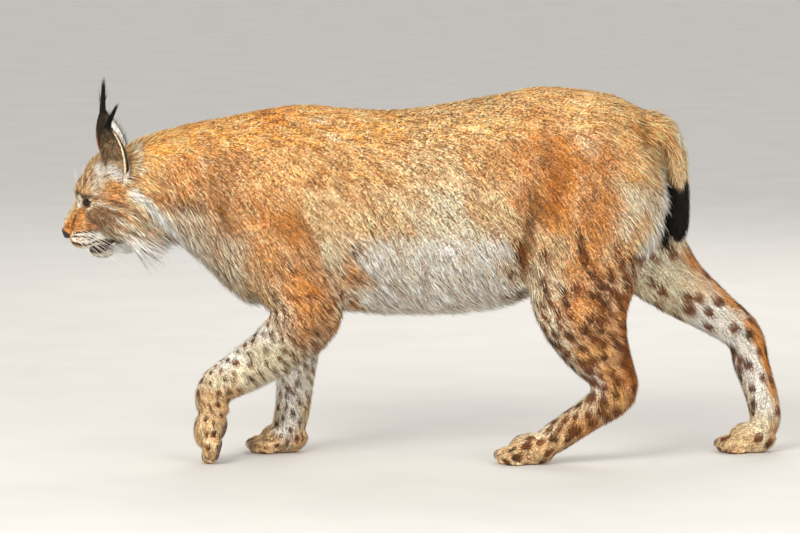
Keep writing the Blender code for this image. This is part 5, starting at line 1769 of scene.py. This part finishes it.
class LYNX_OT_eyes(bpy.types.Operator):
    """Make the eyes and the dark rims of their lids"""

    bl_idname = "lynx.eyes"
    bl_label = "Eyes"

    def execute(self, context):
        look = context.scene.lynx_features
        eye = self.eye_material(look)
        leather = leather_material("lynx_lids", (0.016, 0.011, 0.009), (0.05, 0.03, 0.022), 0.3)
        for side, word in ((-1, "left"), (1, "right")):
            bm = bmesh.new()
            bmesh.ops.create_uvsphere(bm, u_segments=48, v_segments=32, radius=1)
            bm.transform(Matrix.Rotation(math.radians(-90), 4, "Y"))
            # The cornea stands a little proud of the ball
            for vertex in bm.verts:
                ahead = -vertex.co.x
                vertex.co *= 1 + 0.05 * max(0, (ahead - 0.80) / 0.20) ** 0.7
            bm.transform(eye_frame(side) @ Matrix.Scale(EYE_RADIUS - 0.0001, 4))
            ball = mesh_object("eye_" + word + "_ball", bm)
            local = moved(eye_frame(side).inverted(), positions(ball.data))
            store(ball.data, "spot", local / EYE_RADIUS)
            finish_piece(ball, eye, "eye", "eye_" + word)
            bm = bmesh.new()
            ring = lid_curve(side, LID_POINTS, EYE_RADIUS + 0.0009)
            turns = [2 * math.pi * k / LID_POINTS for k in range(LID_POINTS)]
            radii = [0.0012 + 0.0006 * math.sin(turn) for turn in turns]
            add_tube(bm, ring, radii, 8, closed=True)
            lids = mesh_object("eye_" + word + "_lids", bm)
            finish_piece(lids, leather, "eye", "eye_" + word)
        return {"FINISHED"}

    def eye_material(self, look):
        """A wet eye: dark round pupil, an iris with rays whose amber is darkened by painted shade
        of the brow, and a dark outer ring.
        """
        material, tree, sockets = new_material("lynx_eye", {
            "Roughness": 0.06, "Specular IOR Level": 0.25, "Coat Weight": 0.25,
            "Coat Roughness": 0.02,
        })
        _, y, z = split(tree, read(tree, "spot"))
        turn = calc(tree, "ARCTAN2", z, y)
        out = calc(tree, "SQRT", calc(tree, "ADD", times(tree, y, y), times(tree, z, z)))
        fibres = noise(tree, join(tree, times(tree, turn, 6.0), out), 3.0, 3, 0.6)
        iris = mix_colour(tree, between(tree, fibres, 0.35, 0.65), (0.07, 0.035, 0.008, 1),
                          solid(look.iris_colour))
        iris = mix_colour(tree, between(tree, out, 0.50, 0.66), iris, (0.02, 0.012, 0.006, 1))
        colour = mix_colour(tree, between(tree, out, 0.36, 0.40), (0.002, 0.002, 0.002, 1), iris)
        colour = mix_colour(tree, between(tree, out, 0.80, 0.88), colour, (0.10, 0.07, 0.05, 1))
        feed(tree, sockets["Base Color"], colour)
        return material


def finish_piece(obj, material, slot, *nodes):
    """Gives a piece its material and hides the nodes that it replaces. The slot is not used."""
    obj.data.materials.append(material)
    obj.data.shade_smooth()
    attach(obj, "root")
    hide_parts(*nodes)


def leather_material(name, colour, stain, roughness, grain=1500):
    """Bare skin with a pebbled surface and stains."""
    material, tree, sockets = new_material(name, {"Roughness": roughness})
    where = object_place(tree)
    spread = between(tree, noise(tree, where, 260, 3), 0.35, 0.65)
    feed(tree, sockets["Base Color"], mix_colour(tree, spread, solid(colour), solid(stain)))
    pebbles = add_node(tree, "ShaderNodeTexVoronoi", {"Scale": grain, "Vector": where})
    add_bump(tree, sockets, pebbles.outputs["Distance"], 0.5, 0.0004)
    return material


# Whiskers start in rows on the pad, given as seen from the side; three stand over the brow
WHISKER_ROWS = [
    [(-0.577, 0.3780), (-0.568, 0.3795), (-0.559, 0.3800), (-0.550, 0.3800)],
    [(-0.580, 0.3725), (-0.570, 0.3720), (-0.560, 0.3715), (-0.550, 0.3710)],
    [(-0.576, 0.3660), (-0.566, 0.3650), (-0.556, 0.3650)],
]
BROW_HAIRS = [(-0.571, 0.4530), (-0.565, 0.4560), (-0.558, 0.4570)]


class LYNX_OT_whiskers(bpy.types.Operator):
    """Make the whiskers of muzzle and brows"""

    bl_idname = "lynx.whiskers"
    bl_label = "Whiskers"

    def execute(self, context):
        look = context.scene.lynx_features
        skin = surface_tree(bpy.data.objects["skin"])
        turn = head_turn()
        back = turn.inverted()
        bm = bmesh.new()
        for side in (-1, 1):
            for row, places in enumerate(WHISKER_ROWS):
                for k, place in enumerate(places):
                    length = look.whisker_length * (0.55 + 0.15 * k)
                    way = (0.80 + 0.08 * k, 0.32, -0.38 - 0.10 * row)
                    root = back @ seen_on(skin, *place)
                    self.add_hair(bm, turn, root, side, way, length, 0.14)
            for k, place in enumerate(BROW_HAIRS):
                way = (-0.25 + 0.3 * k, 0.45, 0.85)
                root = back @ seen_on(skin, *place)
                self.add_hair(bm, turn, root, side, way, look.whisker_length * 0.4, 0.10)
        whiskers = mesh_object("whiskers", bm)
        finish_piece(whiskers, self.hair_material(), "face_coat", "head")
        return {"FINISHED"}

    def add_hair(self, bm, turn, root, side, way, length, sag):
        """Adds one stiff hair that starts under the skin and sags towards its tip."""
        way = mirrored(way, side).normalized()
        root = Vector((root.x, side * abs(root.y), root.z)) - way * 0.0015
        path, radii = [], []
        for i in range(9):
            t = i / 8
            drop = Vector((0.15, 0, -1)) * sag * length * t * t
            path.append(turn @ (root + way * length * t + drop))
            radii.append(0.00050 * (1 - 0.8 * i / 8))
        add_tube(bm, path, radii, 5)

    def hair_material(self):
        """White stiff hair, greyer in bands."""
        material, tree, sockets = new_material("lynx_whiskers", {"Roughness": 0.35})
        bands = between(tree, noise(tree, object_place(tree), 140, 2), 0.4, 0.6)
        colour = mix_colour(tree, bands, (0.95, 0.92, 0.86, 1), (0.70, 0.66, 0.60, 1))
        feed(tree, sockets["Base Color"], colour)
        return material


class LYNX_OT_paws(bpy.types.Operator):
    """Make the claws and the leather pads of all four paws"""

    bl_idname = "lynx.paws"
    bl_label = "Claws and pads"

    def execute(self, context):
        horn = leather_material("lynx_claws", (0.30, 0.22, 0.15), (0.12, 0.08, 0.055), 0.3, 700)
        sole = leather_material("lynx_pads", (0.060, 0.038, 0.030), (0.11, 0.065, 0.05), 0.6)
        claws, pads = bmesh.new(), bmesh.new()
        paws = [name.replace("_", "_paw_") for name in PAW_PLACES]
        for place in PAW_PLACES.values():
            paw = paw_frame(*place)
            foot = -0.0030 if place[3] else 0.0
            for forward, sideways in TOE_OFFSETS:
                pad = Lump(forward - 0.002, sideways, foot + 0.0035, 0.0095, 0.0066, 0.0035, 0)
                add_lump(pads, pad, paw, 1, 3)
                path = [paw @ Vector((forward + x, sideways, z)) for x, z in CLAW_CURVE]
                add_tube(claws, path, CLAW_RADII, 8)
            add_lump(pads, Lump(0.004, 0, foot + 0.0045, 0.0150, 0.0175, 0.0045, 0), paw, 1, 3)
        for vertex in claws.verts:
            vertex.co.z = max(vertex.co.z, 0.0005)
        finish_piece(mesh_object("claws", claws), horn, "leg_coat", *paws)
        finish_piece(mesh_object("pads", pads), sole, "leg_coat", *paws)
        return {"FINISHED"}


class LYNX_OT_nose(bpy.types.Operator):
    """Make the nose leather with its nostrils"""

    bl_idname = "lynx.nose"
    bl_label = "Nose"

    def execute(self, context):
        look = context.scene.lynx_features
        bm = bmesh.new()
        bmesh.ops.create_icosphere(bm, subdivisions=6, radius=1)
        for vertex in bm.verts:
            vertex.co.y *= 1 + NOSE_FLARE * vertex.co.z
            vertex.co.z += 0.22 * max(0, vertex.co.z) * max(0, 0.3 - vertex.co.x)
            past = vertex.co.x + NOSE_FLAT - 0.1
            if past < 0:
                vertex.co.x = 0.1 - NOSE_FLAT + 0.1 * math.tanh(past / 0.1)
        pad = NOSE_PAD
        tilt = Matrix.Rotation(math.radians(pad.tilt), 4, "Y")
        size = Matrix.Diagonal((pad.long, pad.wide, pad.tall, 1))
        bm.transform(Matrix.Translation(pad[:3]) @ tilt @ size)
        bm.normal_update()
        for vertex in bm.verts:
            hollow = 0.0
            for side in (-1, 1):
                dx = (vertex.co.x - NOSTRIL.x) / 0.0075
                dy = (vertex.co.y - side * NOSTRIL.y) / 0.0030
                dz = (vertex.co.z - NOSTRIL.z + 0.25 * (abs(vertex.co.y) - NOSTRIL.y)) / 0.0024
                hollow += 0.0042 * math.exp(-(dx * dx + dy * dy + dz * dz))
            below = 1 / (1 + math.exp((vertex.co.z - pad.z) / 0.002))
            hollow += 0.0011 * below * math.exp(-((vertex.co.y / 0.0010) ** 2))
            vertex.co -= vertex.normal * hollow
        bm.transform(head_turn())
        nose = mesh_object("nose_leather", bm)
        material = leather_material("lynx_nose", look.nose_colour, (0.12, 0.045, 0.03), 0.5)
        tree = material.node_tree
        base = tree.nodes["Principled BSDF"].inputs["Base Color"]
        where = object_place(tree)
        x, _, z = split(tree, where)
        level = calc(tree, "MULTIPLY_ADD", noise(tree, where, 300, 2), 0.004, z)
        lower = between(tree, level, 0.3830, 0.3880, 1.0, 0.0)
        colour = mix_colour(tree, lower, base.links[0].from_socket, (0.010, 0.007, 0.006, 1))
        # The bridge's short hair reaches down over its back and top
        slant = calc(tree, "MULTIPLY_ADD", x, 0.72, level)
        grown = between(tree, slant, -0.0455, -0.0425)
        fur = mix_colour(tree, noise(tree, where, 420, 2), solid(UMBER), solid(FAWN))
        feed(tree, base, mix_colour(tree, grown, colour, fur))
        finish_piece(nose, material, "nose_leather", "nose")
        return {"FINISHED"}


class LYNX_OT_stage(bpy.types.Operator):
    """Set up floor, soft light and camera"""

    bl_idname = "lynx.stage"
    bl_label = "Stage"

    def execute(self, context):
        look = context.scene.lynx_stage
        bm = bmesh.new()
        bmesh.ops.create_grid(bm, x_segments=8, y_segments=8, size=16)
        floor = link_object("studio_floor", take_mesh(bm, "studio_floor"))
        floor.location.z = -0.0002
        material, tree, sockets = new_material("studio_floor", {"Roughness": 0.9})
        tint = between(tree, noise(tree, object_place(tree), 5, 4), 0.3, 0.7)
        pale = look.floor_colour
        colour = mix_colour(tree, tint, solid([c * 0.96 for c in pale]), solid(pale))
        feed(tree, sockets["Base Color"], colour)
        floor.data.materials.append(material)

        world = bpy.data.worlds.new("studio")
        world.use_nodes = True
        sky = world.node_tree.nodes["Background"].inputs
        sky["Color"].default_value = (1.0, 0.98, 0.95, 1)
        sky["Strength"].default_value = 0.80
        context.scene.world = world
        for name, place, size, power in (
            ("key", (-2.0, -3.4, 2.7), 2.0, 162),
            ("fill", (2.4, -3.8, 0.7), 2.6, 128),
            ("rim", (0.8, 2.8, 2.6), 2.0, 40),
        ):
            light = bpy.data.lights.new(name, "AREA")
            light.size = size
            light.energy = power * look.light
            light.color = (1.0, 0.96, 0.88)
            lamp = link_object(name, light)
            lamp.location = place
            to_middle = Vector((0, 0, 0.3)) - lamp.location
            lamp.rotation_euler = to_middle.to_track_quat("-Z", "Y").to_euler()

        look_up = math.radians(VIEW_ELEVATION)
        way = Vector((0, -math.cos(look_up), math.sin(look_up)))
        camera = link_object("camera", bpy.data.cameras.new("camera"))
        camera.data.lens = 216
        camera.data.sensor_width = 36
        camera.data.clip_end = 60
        camera.location = VIEW_AIM + way * VIEW_DISTANCE
        camera.rotation_euler = (-way).to_track_quat("-Z", "Y").to_euler()
        context.scene.camera = camera
        context.scene.view_settings.view_transform = "Standard"
        return {"FINISHED"}


OPERATORS = (
    LYNX_OT_skin,
    LYNX_OT_coat,
    LYNX_OT_ears,
    LYNX_OT_eyes,
    LYNX_OT_nose,
    LYNX_OT_whiskers,
    LYNX_OT_paws,
    LYNX_OT_stage,
)


class LYNX_PT_panel(bpy.types.Panel):
    """The steps that build the lynx, and the sizes and colours to change"""

    bl_label = "Eurasian lynx"
    bl_idname = "LYNX_PT_panel"
    bl_space_type = "VIEW_3D"
    bl_region_type = "UI"
    bl_category = "Lynx"

    def draw(self, context):
        layout = self.layout
        scene = context.scene
        for group in (scene.lynx_coat, scene.lynx_features, scene.lynx_stage):
            box = layout.box()
            for name in group.__annotations__:
                box.prop(group, name)
        for operator in OPERATORS:
            layout.operator(operator.bl_idname)


GROUPS = (LynxCoat, LynxFeatures, LynxStage)


def register():
    for cls in GROUPS + OPERATORS + (LYNX_PT_panel,):
        bpy.utils.register_class(cls)
    bpy.types.Scene.lynx_coat = PointerProperty(type=LynxCoat)
    bpy.types.Scene.lynx_features = PointerProperty(type=LynxFeatures)
    bpy.types.Scene.lynx_stage = PointerProperty(type=LynxStage)


def unregister():
    del bpy.types.Scene.lynx_stage
    del bpy.types.Scene.lynx_features
    del bpy.types.Scene.lynx_coat
    for cls in reversed(GROUPS + OPERATORS + (LYNX_PT_panel,)):
        bpy.utils.unregister_class(cls)


def main():
    """Builds the whole lynx."""
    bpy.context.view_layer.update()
    register()
    bpy.ops.lynx.skin()
    bpy.ops.lynx.coat()
    bpy.ops.lynx.ears()
    bpy.ops.lynx.eyes()
    bpy.ops.lynx.nose()
    bpy.ops.lynx.whiskers()
    bpy.ops.lynx.paws()
    bpy.ops.lynx.stage()


if __name__ == "__main__":
    main()
